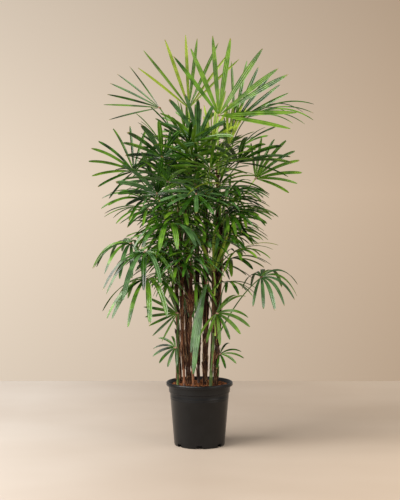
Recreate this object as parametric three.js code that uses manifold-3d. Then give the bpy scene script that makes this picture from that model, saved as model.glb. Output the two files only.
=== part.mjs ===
// Lady palm: a clump of reed-like canes with fan fronds, in a black nursery pot.
// Millimetres, +Z up. The origin is the middle of the pot's flat underside, +X is the right
// side of the plant and -Y its front.
//
// Each frond is a fan of thin leaflets, cut apart down to the web round its hub, on a petiole
// that springs from a cane. The leaflets grow one after another, and one that would run into
// what already stands there turns a little, gets shorter or is left out.

import * as THREE from 'three';
import { mergeVertices } from 'three/addons/utils/BufferGeometryUtils.js';
import Module from 'manifold-3d';

const wasm = await Module();
wasm.setup();

// ---------------------------------------------------------------- driving dimensions

const GAP = 0.3; // clearance between neighbouring pieces

const POT = {
  height: 232,
  baseRadius: 92.5,
  bodyRadius: 110, // just under the collar
  collar: 3.2, // step of the collar over the body
  collarHeight: 24,
  rimRadius: 121.5,
  rimHeight: 14,
  lip: 9, // width of the rolled rim's crest
  wall: 3,
  floor: 4,
  rounding: 4, // at the foot and on the rim
  facets: 42,
  notches: 7, // drain notches in the bottom edge, one of them in front
  notchWidth: 21,
  notchHeight: 11,
  notchDepth: 18,
};

const SOIL_TOP = 214;

const CANE = {
  sides: 7,
  stations: 7,
  bow: 9, // how far a cane may bow from the straight line
  straightPieces: 8, // that stand for it in the test of what may grow
  footFlare: 1.2, // widths as shares of the cane's radius
  tipTaper: 0.8,
  flareShare: 0.08, // share of the height that the flare takes
};

// Foot x and y, tip x, y and z, radius and the number of fronds in the whorl on the tip.
const CANES = [
  [-80, -18, -86, -22, 640, 5, 0],
  [-70, 30, -80, 50, 700, 5.5, 4],
  [-55, -42, -70, -62, 830, 6, 4],
  [-38, -8, -46, -6, 960, 8.5, 3],
  [-22, -58, -30, -84, 700, 5, 3],
  [-3, 24, -10, 34, 1010, 6.5, 3],
  [20, -26, 24, -40, 880, 7, 4],
  [39, -58, 50, -76, 614, 7, 0],
  [57, 4, 66, -8, 1000, 6.5, 1],
  [60, -30, 76, -40, 790, 6.5, 4],
  [40, 40, 62, 62, 720, 6, 4],
  [20, 66, 18, 96, 870, 6.5, 4],
  [-41, 64, -50, 92, 800, 6.5, 4],
];

// How the leaflets of a frond of each age stand: the angle over which they fan out, how far
// they droop, how much the fan cups upwards, their width and how much shorter the outer
// ones are.
const HABITS = {
  young: { spread: 150, droop: 0.1, cup: 0.1, width: 21, falloff: 0.06, segments: 2 },
  open: { spread: 205, droop: 0.45, cup: 0.08, width: 18, falloff: 0.16, segments: 2 },
  arching: { spread: 225, droop: 1.0, cup: 0.1, width: 18, falloff: 0.2, segments: 2 },
  hanging: { spread: 250, droop: 2.2, cup: 0.18, width: 20, falloff: 0.2, segments: 3 },
};

// The fronds that give the crown its outline and its front: name, place of the hub, azimuth,
// tilt and roll of the fan in degrees, length of its leaflets, their number, habit, and the
// angle over which they fan out and their width, or 0 for the habit's own.
const FRONDS = [
  ['top_right', 70, -30, 1199, 0, 57, 82, 280, 9, 'young', 136, 18],
  ['top_left', -39, 40, 1229, 180, 85, -80, 262, 8, 'young', 100, 12],
  ['top_back', 130, 90, 1180, 0, 60, 72, 232, 6, 'young', 66, 14],
  ['right_top', 170, 20, 1192, 0, 24, 26, 262, 7, 'arching', 62, 10],
  ['left_top', -144, 0, 1228, 180, 20, -52, 208, 6, 'young', 84, 9],
  ['crown_front', -5, -70, 1103, -124, 62, 0, 182, 9, 'open', 140, 17],
  ['right_upper', 140, -60, 1028, -64, 27, -13, 218, 9, 'open', 150, 19],
  ['right_fan', 205, 40, 972, 0, 42, 68, 172, 9, 'open', 112, 13],
  ['right_inner', 110, -50, 945, -35, 0, 0, 160, 10, 'arching', 0, 13],
  ['left_upper', -134, -90, 1047, -110, 50, 0, 158, 10, 'open', 0, 20],
  ['left_far', -238, -16, 998, 180, 52, -62, 176, 11, 'open', 180, 11],
  ['left_front', -151, -110, 917, -100, 62, 0, 165, 10, 'open', 0, 19],
  ['centre_front', -12, -150, 918, -88, -26, 0, 140, 11, 'open', 280, 17],
  ['left_mid', -182, -60, 862, 195, 5, -10, 165, 11, 'arching', 0, 12],
  ['front_hanging', -102, -170, 812, -105, 0, 0, 176, 11, 'hanging', 270, 20],
  ['right_mid', 98, -60, 850, -20, 8, 20, 165, 12, 'arching', 0, 12],
  ['left_low_1', -246, -60, 739, 190, 0, -20, 185, 10, 'hanging', 220, 17],
  ['left_low_2', -193, -130, 712, -130, -20, 0, 215, 10, 'hanging', 240, 19],
  ['left_low_3', -188, -90, 614, -125, -20, 0, 225, 10, 'hanging', 235, 20],
  ['right_low_1', 126, -70, 709, -20, 20, 10, 165, 10, 'arching', 0, 13],
  ['right_low_2', 223, -40, 616, 0, 16, 30, 165, 11, 'hanging', 235, 17],
  ['right_low_3', 100, -60, 602, -40, 0, 0, 130, 9, 'arching', 0, 13],
  ['left_small', -80, -60, 489, 180, 4, -78, 122, 8, 'young', 130, 12],
  ['centre_low', 62, -95, 491, -20, -10, 50, 130, 10, 'arching', 235, 14],
  ['centre_new', 50, -104, 640, -90, 84, 0, 152, 6, 'young', 72, 13],
  ['centre_hanging', 29, -125, 604, -112, -60, 0, 330, 2, 'hanging', 16, 22],
  ['left_tuft', -86, -50, 362, 190, 0, -50, 92, 7, 'arching', 170, 14],
  ['right_tuft', 74, -50, 338, -10, 10, 30, 88, 7, 'arching', 200, 12],
  ['mid_right', 80, -80, 771, -60, 10, 0, 150, 10, 'arching', 0, 13],
  ['left_inner', -111, -150, 960, -130, 38, 0, 155, 10, 'open', 0, 19],
  ['right_outer', 112, 30, 895, 10, 18, 25, 145, 11, 'arching', 210, 12],
  ['right_side', 112, 40, 792, 10, 10, 20, 150, 11, 'arching', 210, 12],
  ['top_new', 104, -14, 1088, 0, 76, 60, 158, 4, 'young', 27, 15],
  ['left_edge', -196, -40, 896, 182, 16, -30, 168, 8, 'arching', 150, 12],
];

// Where the leaflets of some fans stand, as shares of half the angle of the fan.
const PLACES = {
  frond_top_right: [-1, -0.78, -0.55, -0.33, -0.03, 0.25, 0.38, 0.79, 1],
  frond_top_left: [-0.95, -0.7, -0.33, 0.02, 0.25, 0.52, 0.8, 1],
  frond_centre_hanging: [-0.3, 1],
};

// Half width of the crown by height, which the whorls keep inside.
const CROWN = [[380, 150], [480, 190], [600, 250], [700, 270], [800, 265], [900, 300], [1000, 330],
  [1100, 300], [1200, 220]];

// The whorl of fronds on a cane's tip. A `vary` is how far a value may go either way.
const WHORL = {
  leaflets: 9,
  widths: [16, 12, 14], // of the leaflets, taken in turn by the whorl's fronds
  blade: 160,
  bladeVary: 15,
  bladeHigh: 15, // longer by this from the height highHub
  highHub: 900,
  lowShare: 0.75, // length of the blades on a cane under shortCane
  shortCane: 560,
  fan: 88, // azimuth of the outermost frond of a whorl, from the way the cane leans
  azimuthVary: 14,
  lift: [-50, 140, 15], // heights of the hubs over the cane's tip, from and to, and their vary
  liftHigh: [30, 140, 0], // the same on a cane over highCane
  highCane: 930,
  reach: 110,
  reachVary: 30,
  leastReach: 55,
  margin: 60, // to the crown's outline
  tilt: 2,
  tiltRise: 50, // the fans stand up more from riseFrom to riseOver above it
  riseFrom: 500,
  riseOver: 650,
  tiltOrder: 12,
  tiltVary: 8,
  rollVary: 18,
  openFrom: 960, // habit by the height of the hub
  archingFrom: 640,
  sheath: 40, // height of the sheath on the cane's tip
  spear: 150, // height of the folded young leaf over it
  sheathTop: 0.75, // its radius at the sheath's top, as a share of that at the foot
  spearTip: 1.2,
  sides: 5,
};

// Radius of the web round a hub, its thickness above and below, and its radius where a leaflet
// is left out.
const HUB = { web: 26, crest: 1, depth: 5, skip: 0.7, heel: 5 };

// Radii, the distance to the cane's side, how far it leans out where it starts, and how far the
// handles of its curve reach as shares of the way to the hub.
const PETIOLE = {
  base: 2.9,
  tip: 2.2,
  keel: 1.2, // depth of its ridge as a share of the radius
  segments: 5,
  clearance: 3.4,
  lean: 0.55,
  leanInWhorl: 0.45,
  outHandle: 0.38,
  inHandle: 0.34,
  alongBlade: 0.7, // how much it comes in along the blade
  topGap: 10, // it starts this far under the cane's tip at least
  soilGap: 20,
  start: 18, // length over which it may stand close to its own cane
};

// What a frond weighs when it looks for its cane: it springs from `rise` for each mm of reach
// and `foot` lower than its hub, and a cane that is too short, too tall or has fronds already
// counts as further off.
const CHOICE = { rise: 0.9, foot: 60, tip: 12, short: 0.8, low: 0.6, stem: 160, carried: 35, soilGap: 40 };

const BLADE = { thinnest: 2.5, thickness: 0.0105 }; // least, and as a share of the length

// How the leaflets of one frond differ, as shares or in degrees, and what their size follows.
const LEAFLET = {
  yawVary: 3,
  yawShare: 0.15, // the same as a share of the angle between two leaflets, where that is less
  rootWidth: 0.75, // share of the room between its neighbours that a leaflet fills at most
  lengthVary: 0.06,
  droopVary: 0.2,
  twistVary: 0.35, // radians from the foot to the tip
  liftVary: 4,
  widthVary: 0.08,
  narrowing: 0.25, // of the outermost leaflets
  widthBase: 0.8, // share of the habit's width that doesn't follow the blade's length
  fullBlade: 200, // the blade that has the habit's width
  droopPower: 1.2,
};
const FINE_STEPS = 24; // of a leaflet's midrib
const ROOT_STEP = 3; // the fine step at which the leaflets part

// Width of a leaflet along its length, as a share of its greatest.
const OUTLINE = [[0, 0.32], [0.25, 0.74], [0.55, 1], [0.82, 0.82], [1, 0.14]];

// Turns and lifts in degrees, and shares of the length, that a leaflet in the way tries in turn.
const TURNS = [[0, 0], [0, 9], [0, -9], [7, 0], [-7, 0], [7, 9], [-7, 9], [7, -9], [-7, -9],
  [0, 18], [0, -18], [12, 4], [-12, 4]];
const LENGTHS = [1, 0.72, 0.45];

// Room in mm that a piece keeps free round its middle line or plane, and past its edges.
const MARGIN = 3;
const ROOM = { cane: 5, sheath: 5, hubShare: 0.85, hubHalf: 4, petiole: 7.5, blade: 4 };
const TEST = { hub: 8, blade: 7, petiole: 5 }; // points round a hub, and mm between the others

// Side steps and drops in mm that a petiole in the way tries in turn.
const SIDE_STEPS = [0, 14, -14, 28, -28, 45, -45, 60, -60];
const SIDE_TURN = 60; // the side step at which a petiole leaves its cane at 45 degrees
const SIDE_PULL = 0.5; // share of the step that its curve's second handle moves
const DROPS = [0, -25, 25, -50, -75];
const WHORL_TURNS = [0, 14, -14, 28, -28, 42, -42]; // degrees
const SHEATH_STARTS = [10, 24, 36]; // heights over the cane's tip at which a whorl's petioles start

const COLOURS = {
  pot: 0x232221,
  soil: 0x5a3a28,
  cane: 0x6b4a33,
  young: 0x8fbf3c,
  open: 0x3f7a2c,
  arching: 0x35692a,
  hanging: 0x4f8043,
  whorl: 0x2f6427,
};

// ---------------------------------------------------------------- numbers and vectors

const UP = new THREE.Vector3(0, 0, 1);
const radians = THREE.MathUtils.degToRad;
const vector = (x, y, z) => new THREE.Vector3(x, y, z);

/** Seeded random numbers, the same in every run. */
class Seeded {
  constructor(seed) {
    this.state = seed >>> 0;
  }

  next() {
    this.state = (this.state + 0x6d2b79f5) >>> 0;
    let t = this.state;
    t = Math.imul(t ^ (t >>> 15), t | 1);
    t ^= t + Math.imul(t ^ (t >>> 7), t | 61);
    return ((t ^ (t >>> 14)) >>> 0) / 4294967296;
  }

  spread(half) {
    return (2 * this.next() - 1) * half;
  }
}

/** Value at x of a line through [x, y] points. */
function along(points, x) {
  if (x <= points[0][0]) return points[0][1];
  for (let i = 1; i < points.length; i++) {
    const [x0, y0] = points[i - 1];
    const [x1, y1] = points[i];
    if (x <= x1) return y0 + ((y1 - y0) * (x - x0)) / (x1 - x0);
  }
  return points[points.length - 1][1];
}

const heading = (azimuth) => vector(Math.cos(radians(azimuth)), Math.sin(radians(azimuth)), 0);

// ---------------------------------------------------------------- solids

/** A closed triangle list as a manifold-3d solid. */
function solidOf(geometry) {
  const bare = new THREE.BufferGeometry().setAttribute('position', geometry.getAttribute('position'));
  bare.setIndex(geometry.index);
  const merged = mergeVertices(bare, 1e-4);
  const corners = merged.index.array;
  const triVerts = [];
  for (let i = 0; i < corners.length; i += 3) {
    const [a, b, c] = [corners[i], corners[i + 1], corners[i + 2]];
    if (a !== b && b !== c && c !== a) triVerts.push(a, b, c); // a lathe has empty faces on its axis
  }
  return new wasm.Manifold(
    new wasm.Mesh({
      numProp: 3,
      vertProperties: new Float32Array(merged.getAttribute('position').array),
      triVerts: new Uint32Array(triVerts),
    }),
  );
}

/** A manifold-3d solid as a three.js geometry. */
function geometryOf(solid) {
  const { vertProperties, triVerts, numProp } = solid.getMesh();
  const positions = [];
  for (let i = 0; i < vertProperties.length; i += numProp) {
    positions.push(vertProperties[i], vertProperties[i + 1], vertProperties[i + 2]);
  }
  const geometry = new THREE.BufferGeometry();
  geometry.setAttribute('position', new THREE.Float32BufferAttribute(positions, 3));
  geometry.setIndex([...triVerts]);
  return geometry;
}

/** Corners and faces that grow into one closed geometry. */
class Shell {
  constructor() {
    this.corners = [];
    this.faces = [];
  }

  point(p) {
    this.corners.push(p.x, p.y, p.z);
    return this.corners.length / 3 - 1;
  }

  face(...indices) {
    this.faces.push(...indices);
  }

  solid() {
    const geometry = new THREE.BufferGeometry();
    geometry.setAttribute('position', new THREE.Float32BufferAttribute(this.corners, 3));
    geometry.setIndex(this.faces);
    return solidOf(geometry);
  }
}

/** A closed upright limb through round sections at centres, with a radius each and level ends. */
function limb(centres, radii, sides) {
  const shell = new Shell();
  const rings = centres.map((centre, i) => {
    const ahead = i === 0 || i === centres.length - 1 ? UP : centres[i + 1].clone().sub(centres[i - 1]);
    const direction = ahead.clone().normalize();
    const x = vector(1, 0, 0).addScaledVector(direction, -direction.x).normalize();
    const y = direction.clone().cross(x);
    return Array.from({ length: sides }, (_, k) => {
      const angle = (2 * Math.PI * k) / sides;
      return shell.point(
        centre
          .clone()
          .addScaledVector(x, radii[i] * Math.cos(angle))
          .addScaledVector(y, radii[i] * Math.sin(angle)),
      );
    });
  });
  for (let i = 1; i < rings.length; i++) {
    for (let k = 0; k < sides; k++) {
      const next = (k + 1) % sides;
      const [a, b, c, d] = [rings[i - 1][k], rings[i - 1][next], rings[i][next], rings[i][k]];
      shell.face(a, b, c, a, c, d);
    }
  }
  const last = rings[rings.length - 1];
  for (let k = 1; k < sides - 1; k++) {
    shell.face(rings[0][0], rings[0][k + 1], rings[0][k]);
    shell.face(last[0], last[k], last[k + 1]);
  }
  return shell.solid();
}

// ---------------------------------------------------------------- pot and soil

/** Radius of the pot's outer wall at a height, rim left aside. */
const potRadius = (z) =>
  POT.baseRadius + ((POT.bodyRadius - POT.baseRadius) * z) / (POT.height - POT.rimHeight);

/** Points of a quarter arc from one angle to the other, in degrees, round a centre. */
function arc(x, y, radius, from, to, steps = 3) {
  return Array.from({ length: steps + 1 }, (_, i) => {
    const angle = radians(from + ((to - from) * i) / steps);
    return new THREE.Vector2(x + radius * Math.cos(angle), y + radius * Math.sin(angle));
  });
}

/** A solid of revolution about Z through the profile's points, which start and end on the axis. */
function turned(profile) {
  return solidOf(new THREE.LatheGeometry(profile, POT.facets).rotateX(Math.PI / 2));
}

function potSolid() {
  const under = POT.height - POT.rimHeight;
  const collarFoot = under - POT.collarHeight;
  const round = POT.rounding;
  const inside = (z) => potRadius(z) - POT.wall;
  const crest = POT.rimRadius - POT.lip;
  const body = turned([
    new THREE.Vector2(0, 0),
    ...arc(POT.baseRadius - round, round, round, -90, 0),
    new THREE.Vector2(potRadius(collarFoot), collarFoot),
    new THREE.Vector2(potRadius(collarFoot) + POT.collar, collarFoot + POT.collar),
    new THREE.Vector2(potRadius(under) + POT.collar, under),
    ...arc(POT.rimRadius - round / 2, under + round / 2, round / 2, -90, 0, 2),
    ...arc(POT.rimRadius - round, POT.height - round, round, 0, 90),
    new THREE.Vector2(crest, POT.height),
    new THREE.Vector2(inside(under), under),
    new THREE.Vector2(inside(POT.floor), POT.floor),
    new THREE.Vector2(0, POT.floor),
  ]);
  let pot = body;
  for (let k = 0; k < POT.notches; k++) {
    const notch = new THREE.BoxGeometry(2 * POT.notchDepth, POT.notchWidth, 2 * POT.notchHeight)
      .translate(POT.baseRadius + POT.rounding, 0, 0)
      .rotateZ(radians(-90 + (360 * k) / POT.notches));
    pot = pot.subtract(solidOf(notch));
  }
  return pot;
}

function soilSolid() {
  const edge = (z) => potRadius(z) - POT.wall - GAP;
  const bottom = POT.floor + GAP;
  return turned([
    new THREE.Vector2(0, bottom),
    new THREE.Vector2(edge(bottom), bottom),
    new THREE.Vector2(edge(SOIL_TOP), SOIL_TOP),
    new THREE.Vector2(0, SOIL_TOP),
  ]);
}

// ---------------------------------------------------------------- canes

class Cane {
  constructor(row, index) {
    const [footX, footY, tipX, tipY, tipZ, radius, whorl] = row;
    const rng = new Seeded(1000 + index);
    this.foot = vector(footX, footY, SOIL_TOP + GAP);
    this.tip = vector(tipX, tipY, tipZ);
    this.bow = vector(rng.spread(CANE.bow), rng.spread(CANE.bow), 0);
    this.radius = radius;
    this.whorl = whorl;
    this.carried = 0; // fronds that spring from its side
  }

  /** Share of the cane's height at a height. */
  share(z) {
    return (z - this.foot.z) / (this.tip.z - this.foot.z);
  }

  /** The cane's middle at a height. */
  at(z) {
    const t = this.share(z);
    return this.foot
      .clone()
      .addScaledVector(this.tip.clone().sub(this.foot), t)
      .addScaledVector(this.bow, Math.sin(Math.PI * t));
  }

  solid() {
    const shares = [0, CANE.flareShare];
    for (let i = 1; i < CANE.stations; i++) {
      shares.push(CANE.flareShare + ((1 - CANE.flareShare) * i) / (CANE.stations - 1));
    }
    const centres = shares.map((t) => this.at(this.foot.z + (this.tip.z - this.foot.z) * t));
    const radii = shares.map(
      (t) => this.radius * along([[0, CANE.footFlare], [CANE.flareShare, 1], [1, CANE.tipTaper]], t),
    );
    return limb(centres, radii, CANE.sides);
  }
}

// ---------------------------------------------------------------- what stands where

/** The straight flat pieces that already stand, for the test of what may still grow. */
class Standing {
  constructor() {
    this.pieces = [];
  }

  /** A piece from a to b: half its width at both ends along side, and half the room it needs. */
  add(a, b, side, half0, half1, room, frond, node) {
    const along = b.clone().sub(a);
    const length = along.length();
    along.divideScalar(length);
    const across = side.clone().addScaledVector(along, -side.dot(along)).normalize();
    this.pieces.push({
      a,
      along,
      length,
      across,
      normal: along.clone().cross(across),
      half0,
      half1,
      room,
      frond,
      node,
      middle: a.clone().add(b).multiplyScalar(0.5),
      radius: length / 2 + Math.max(half0, half1, room) + 4,
    });
  }

  /** Whether any of the points lies in a piece that isn't the frond's, nor of a skipped node. */
  blocks(points, frond, skipped = []) {
    const middle = points.reduce((sum, p) => sum.add(p), vector(0, 0, 0)).divideScalar(points.length);
    const radius = Math.max(...points.map((p) => p.distanceTo(middle)));
    const near = this.pieces.filter(
      (piece) =>
        piece.frond !== frond &&
        !skipped.includes(piece.node) &&
        piece.middle.distanceTo(middle) < piece.radius + radius,
    );
    const offset = vector(0, 0, 0);
    return near.some((piece) =>
      points.some((p) => {
        offset.subVectors(p, piece.a);
        const u = offset.dot(piece.along);
        if (u <= -MARGIN || u >= piece.length + MARGIN) return false;
        if (Math.abs(offset.dot(piece.normal)) >= piece.room) return false;
        const t = Math.min(1, Math.max(0, u / piece.length));
        return Math.abs(offset.dot(piece.across)) < piece.half0 * (1 - t) + piece.half1 * t + MARGIN;
      }),
    );
  }
}

// ---------------------------------------------------------------- fronds

/** The fronds listed by hand, each in a node of its own. */
function outlineFronds() {
  return FRONDS.map(([name, x, y, z, azimuth, tilt, roll, blade, leaflets, habit, spread, width]) => ({
    node: `frond_${name}`,
    hub: vector(x, y, z),
    azimuth,
    tilt,
    roll,
    blade,
    leaflets,
    habit,
    spread: spread || HABITS[habit].spread,
    width: width || HABITS[habit].width,
  }));
}

/** The fronds of the whorls: they fan out from each cane's tip the way the cane leans. */
function whorlFronds(canes) {
  return canes.flatMap((cane, index) => {
    const rng = new Seeded(300 + index);
    const home = THREE.MathUtils.radToDeg(Math.atan2(cane.tip.y, cane.tip.x));
    const count = cane.whorl;
    const [lowest, highest, vary] = cane.tip.z > WHORL.highCane ? WHORL.liftHigh : WHORL.lift;
    return Array.from({ length: count }, (_, i) => {
      const place = count > 1 ? (2 * i - (count - 1)) / (count - 1) : 0;
      const order = ((count % 2 ? 2 : 3) * i) % count; // of the hubs, from the lowest up
      const azimuth = home + place * WHORL.fan + rng.spread(WHORL.azimuthVary);
      const lift = lowest + ((highest - lowest) * (order + 0.5)) / count + rng.spread(vary);
      const height = cane.tip.z + lift;
      let blade = WHORL.blade + rng.spread(WHORL.bladeVary) + (height > WHORL.highHub ? WHORL.bladeHigh : 0);
      if (cane.tip.z < WHORL.shortCane) blade *= WHORL.lowShare;
      const room = along(CROWN, height) - blade - WHORL.margin;
      const reach = Math.max(WHORL.leastReach, Math.min(WHORL.reach + rng.spread(WHORL.reachVary), room));
      const rise = Math.max(0, (height - WHORL.riseFrom) / WHORL.riseOver);
      const tilt = WHORL.tilt + WHORL.tiltRise * rise ** 2 + (WHORL.tiltOrder * order) / count;
      const habit = height > WHORL.openFrom ? 'open' : height > WHORL.archingFrom ? 'arching' : 'hanging';
      const frond = {
        node: `whorl_${String(index + 1).padStart(2, '0')}`,
        cane: index,
        tilt: tilt + rng.spread(WHORL.tiltVary),
        roll: rng.spread(WHORL.rollVary),
        blade,
        leaflets: WHORL.leaflets,
        habit,
        spread: HABITS[habit].spread,
        width: WHORL.widths[i % WHORL.widths.length],
      };
      frond.turnTo = (turn) => {
        frond.azimuth = azimuth + turn;
        frond.hub = cane.tip
          .clone()
          .addScaledVector(heading(frond.azimuth), reach)
          .addScaledVector(UP, lift);
      };
      return frond;
    });
  });
}

/** Axis, normal and side of a frond's fan. */
function axesOf(frond) {
  const [a, e, r] = [frond.azimuth, frond.tilt, frond.roll].map(radians);
  const axis = vector(Math.cos(e) * Math.cos(a), Math.cos(e) * Math.sin(a), Math.sin(e));
  const level = vector(-Math.sin(e) * Math.cos(a), -Math.sin(e) * Math.sin(a), Math.cos(e));
  const normal = level
    .clone()
    .multiplyScalar(Math.cos(r))
    .addScaledVector(axis.clone().cross(level), Math.sin(r));
  return { axis, normal, side: axis.clone().cross(normal) };
}

/** The cane that a frond listed by hand springs from, and the height at which it leaves it. */
function chooseCane(frond, canes) {
  let best = null;
  canes.forEach((cane, index) => {
    const base = cane.at(Math.min(frond.hub.z, cane.tip.z));
    const reach = Math.hypot(frond.hub.x - base.x, frond.hub.y - base.y);
    const wanted = frond.hub.z - (CHOICE.rise * reach + CHOICE.foot);
    const height = Math.min(wanted, cane.tip.z - CHOICE.tip);
    const short = Math.max(0, wanted - height);
    const low = Math.max(0, cane.tip.z - height - CHOICE.stem);
    const score = reach + CHOICE.short * short + CHOICE.low * low + CHOICE.carried * cane.carried;
    const start = Math.max(height, SOIL_TOP + CHOICE.soilGap);
    if (!best || score < best.score) best = { score, index, height: start };
  });
  return best;
}

/** A petiole's points: it leaves its start steeply and comes in to the hub along the blade. */
function petiolePoints(frond, start, leave, sideways) {
  const { axis } = axesOf(frond);
  const reach = frond.hub.clone().sub(start);
  const span = reach.length();
  const arrive = axis.clone().multiplyScalar(PETIOLE.alongBlade).addScaledVector(reach, 1 / span).normalize();
  const curve = new THREE.CubicBezierCurve3(
    start,
    start.clone().addScaledVector(leave, span * PETIOLE.outHandle),
    frond.hub.clone().addScaledVector(arrive, -span * PETIOLE.inHandle).add(sideways),
    frond.hub,
  );
  return curve.getPoints(PETIOLE.segments);
}

/** Points every few mm along a line of points. */
function dense(points, step) {
  return points.slice(1).flatMap((b, i) => {
    const a = points[i];
    const count = Math.max(1, Math.floor(a.distanceTo(b) / step));
    return Array.from({ length: count }, (_, k) => a.clone().lerp(b, k / count));
  });
}

/** Whether a petiole is free: its first stretch may stand close to its own cane. */
function petioleFree(points, frond, standing, index, ownCane) {
  const line = dense(points, TEST.petiole).slice(1);
  const near = line.filter((p) => p.distanceTo(points[0]) <= PETIOLE.start);
  const far = line.filter((p) => p.distanceTo(points[0]) > PETIOLE.start);
  if (near.length && standing.blocks(near, index, [ownCane, frond.node])) return false;
  return !standing.blocks(far, index, [frond.node]);
}

/** A frond's petiole: its points from the cane to the hub, or null where each way is blocked. */
function growPetiole(frond, index, canes, standing) {
  const inWhorl = frond.cane !== undefined;
  const chosen = inWhorl ? { index: frond.cane, height: 0 } : chooseCane(frond, canes);
  const cane = canes[chosen.index];
  const ownCane = `cane_${chosen.index}`;
  if (!inWhorl) cane.carried += 1;
  for (const drop of inWhorl ? SHEATH_STARTS : DROPS) {
    for (const step of SIDE_STEPS) {
      const height = Math.min(chosen.height + drop, cane.tip.z - PETIOLE.topGap);
      if (!inWhorl && height < SOIL_TOP + PETIOLE.soilGap) continue;
      const middle = inWhorl ? cane.tip.clone().addScaledVector(UP, drop) : cane.at(height);
      const out = frond.hub.clone().sub(middle).setZ(0);
      if (out.length() > 1) out.normalize();
      else out.copy(heading(frond.azimuth));
      const across = vector(-out.y, out.x, 0);
      const away = out.clone().addScaledVector(across, step / SIDE_TURN).normalize();
      const start = inWhorl ? middle : middle.clone().addScaledVector(away, cane.radius + PETIOLE.clearance);
      const leave = UP.clone().addScaledVector(away, inWhorl ? PETIOLE.leanInWhorl : PETIOLE.lean).normalize();
      const points = petiolePoints(frond, start, leave, across.clone().multiplyScalar(step * SIDE_PULL));
      if (petioleFree(points, frond, standing, index, ownCane)) return points;
    }
  }
  return null;
}

/** Whether the web round a frond's hub has room. */
function hubFree(frond, index, standing) {
  const { axis, side } = axesOf(frond);
  const points = Array.from({ length: TEST.hub + 1 }, (_, k) => {
    const angle = (2 * Math.PI * k) / TEST.hub;
    const radius = k < TEST.hub ? HUB.web : 0;
    return frond.hub
      .clone()
      .addScaledVector(axis, radius * Math.cos(angle))
      .addScaledVector(side, radius * Math.sin(angle));
  });
  return !standing.blocks(points, index);
}

/**
 * A leaflet's midrib from the hub: points, side vectors and half widths at every fine step. It
 * stays clear of its neighbours, which stand a gap in radians away.
 */
function midrib(hub, direction, normal, length, droop, width, twist, gap) {
  const first = normal.clone().cross(direction).normalize();
  const stations = [];
  const p = hub.clone();
  for (let k = 0; k <= FINE_STEPS; k++) {
    const s = k / FINE_STEPS;
    const heading = direction.clone().addScaledVector(UP, -droop * s ** LEAFLET.droopPower).normalize();
    const flat = first.clone().addScaledVector(heading, -first.dot(heading)).normalize();
    const turn = twist * s;
    const side = flat
      .clone()
      .multiplyScalar(Math.cos(turn))
      .addScaledVector(heading.clone().cross(flat), Math.sin(turn));
    const free = LEAFLET.rootWidth * length * s * Math.tan(gap / 2);
    const half = Math.min(0.5 * width * along(OUTLINE, s), free);
    stations.push({ p: p.clone(), side, up: heading.clone().cross(side), half });
    p.addScaledVector(heading, length / FINE_STEPS);
  }
  return stations;
}

/** Points spread over a leaflet's blade. */
function bladePoints(stations) {
  return stations.slice(1).flatMap((b, i) => {
    const a = stations[i];
    const count = Math.max(2, Math.ceil(a.p.distanceTo(b.p) / TEST.blade));
    return Array.from({ length: count + 1 }, (_, k) => k / count).flatMap((t) => {
      const middle = a.p.clone().lerp(b.p, t);
      const side = a.side.clone().lerp(b.side, t);
      const half = a.half * (1 - t) + b.half * t;
      return [-1, -1 / 3, 1 / 3, 1].map((q) => middle.clone().addScaledVector(side, half * q));
    });
  });
}

/** Grows a frond's leaflets one by one: each its stations from the web to the tip, or null. */
function growLeaflets(frond, index, standing) {
  const habit = HABITS[frond.habit];
  const { axis, normal, side } = axesOf(frond);
  const rng = new Seeded(500 + index);
  const even = Array.from({ length: frond.leaflets }, (_, j) => (2 * j) / (frond.leaflets - 1) - 1);
  const places = PLACES[frond.node] ?? even;
  return places.map((u) => {
    const gap = (frond.spread / 2) * Math.min(...places.filter((v) => v !== u).map((v) => Math.abs(u - v)));
    const yawVary = Math.min(LEAFLET.yawVary, LEAFLET.yawShare * gap);
    const spreadAngle = (u * frond.spread) / 2 + rng.spread(yawVary);
    const length = frond.blade * (1 - habit.falloff * u * u) * (1 + rng.spread(LEAFLET.lengthVary));
    const droop = habit.droop * (1 + rng.spread(LEAFLET.droopVary));
    const twist = rng.spread(LEAFLET.twistVary);
    const size = LEAFLET.widthBase + ((1 - LEAFLET.widthBase) * frond.blade) / LEAFLET.fullBlade;
    const narrowing = 1 - LEAFLET.narrowing * u * u;
    const width = frond.width * size * narrowing * (1 + rng.spread(LEAFLET.widthVary));
    const ownLift = rng.spread(LEAFLET.liftVary);
    const directionAt = (yaw, lift) => {
      const p = radians(spreadAngle + yaw);
      const e = radians(lift + ownLift);
      return axis
        .clone()
        .multiplyScalar(Math.cos(p) * Math.cos(e))
        .addScaledVector(side, Math.sin(p) * Math.cos(e))
        .addScaledVector(normal, Math.sin(e) + habit.cup)
        .normalize();
    };
    for (const share of LENGTHS) {
      for (const [yaw, lift] of TURNS) {
        const direction = directionAt(yaw, lift);
        const fine = midrib(frond.hub, direction, normal, length, droop, width, twist, radians(gap));
        const last = Math.round(FINE_STEPS * share);
        const steps = Array.from({ length: habit.segments + 1 }, (_, k) =>
          ROOT_STEP + Math.floor(((last - ROOT_STEP) * k) / habit.segments));
        const stations = steps.map((k) => fine[k]);
        const tested = [fine[ROOT_STEP - 1], ...stations];
        if (!standing.blocks(bladePoints(tested), index)) return { stations, direction, length };
      }
    }
    return { stations: null, direction: directionAt(0, 0), length };
  });
}

/** Three-sided stretch of a leaflet or petiole from one section to the next. */
function stretch(shell, from, to) {
  shell.face(from.left, from.right, to.right, from.left, to.right, to.left);
  shell.face(from.left, to.left, to.rib, from.left, to.rib, from.rib);
  shell.face(from.right, from.rib, to.rib, from.right, to.rib, to.right);
}

/** Three-sided section round a point: two edges above and a rib below. */
function section(shell, middle, side, up, half, depth) {
  return {
    left: shell.point(middle.clone().addScaledVector(side, half)),
    right: shell.point(middle.clone().addScaledVector(side, -half)),
    rib: shell.point(middle.clone().addScaledVector(up, -depth)),
  };
}

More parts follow.
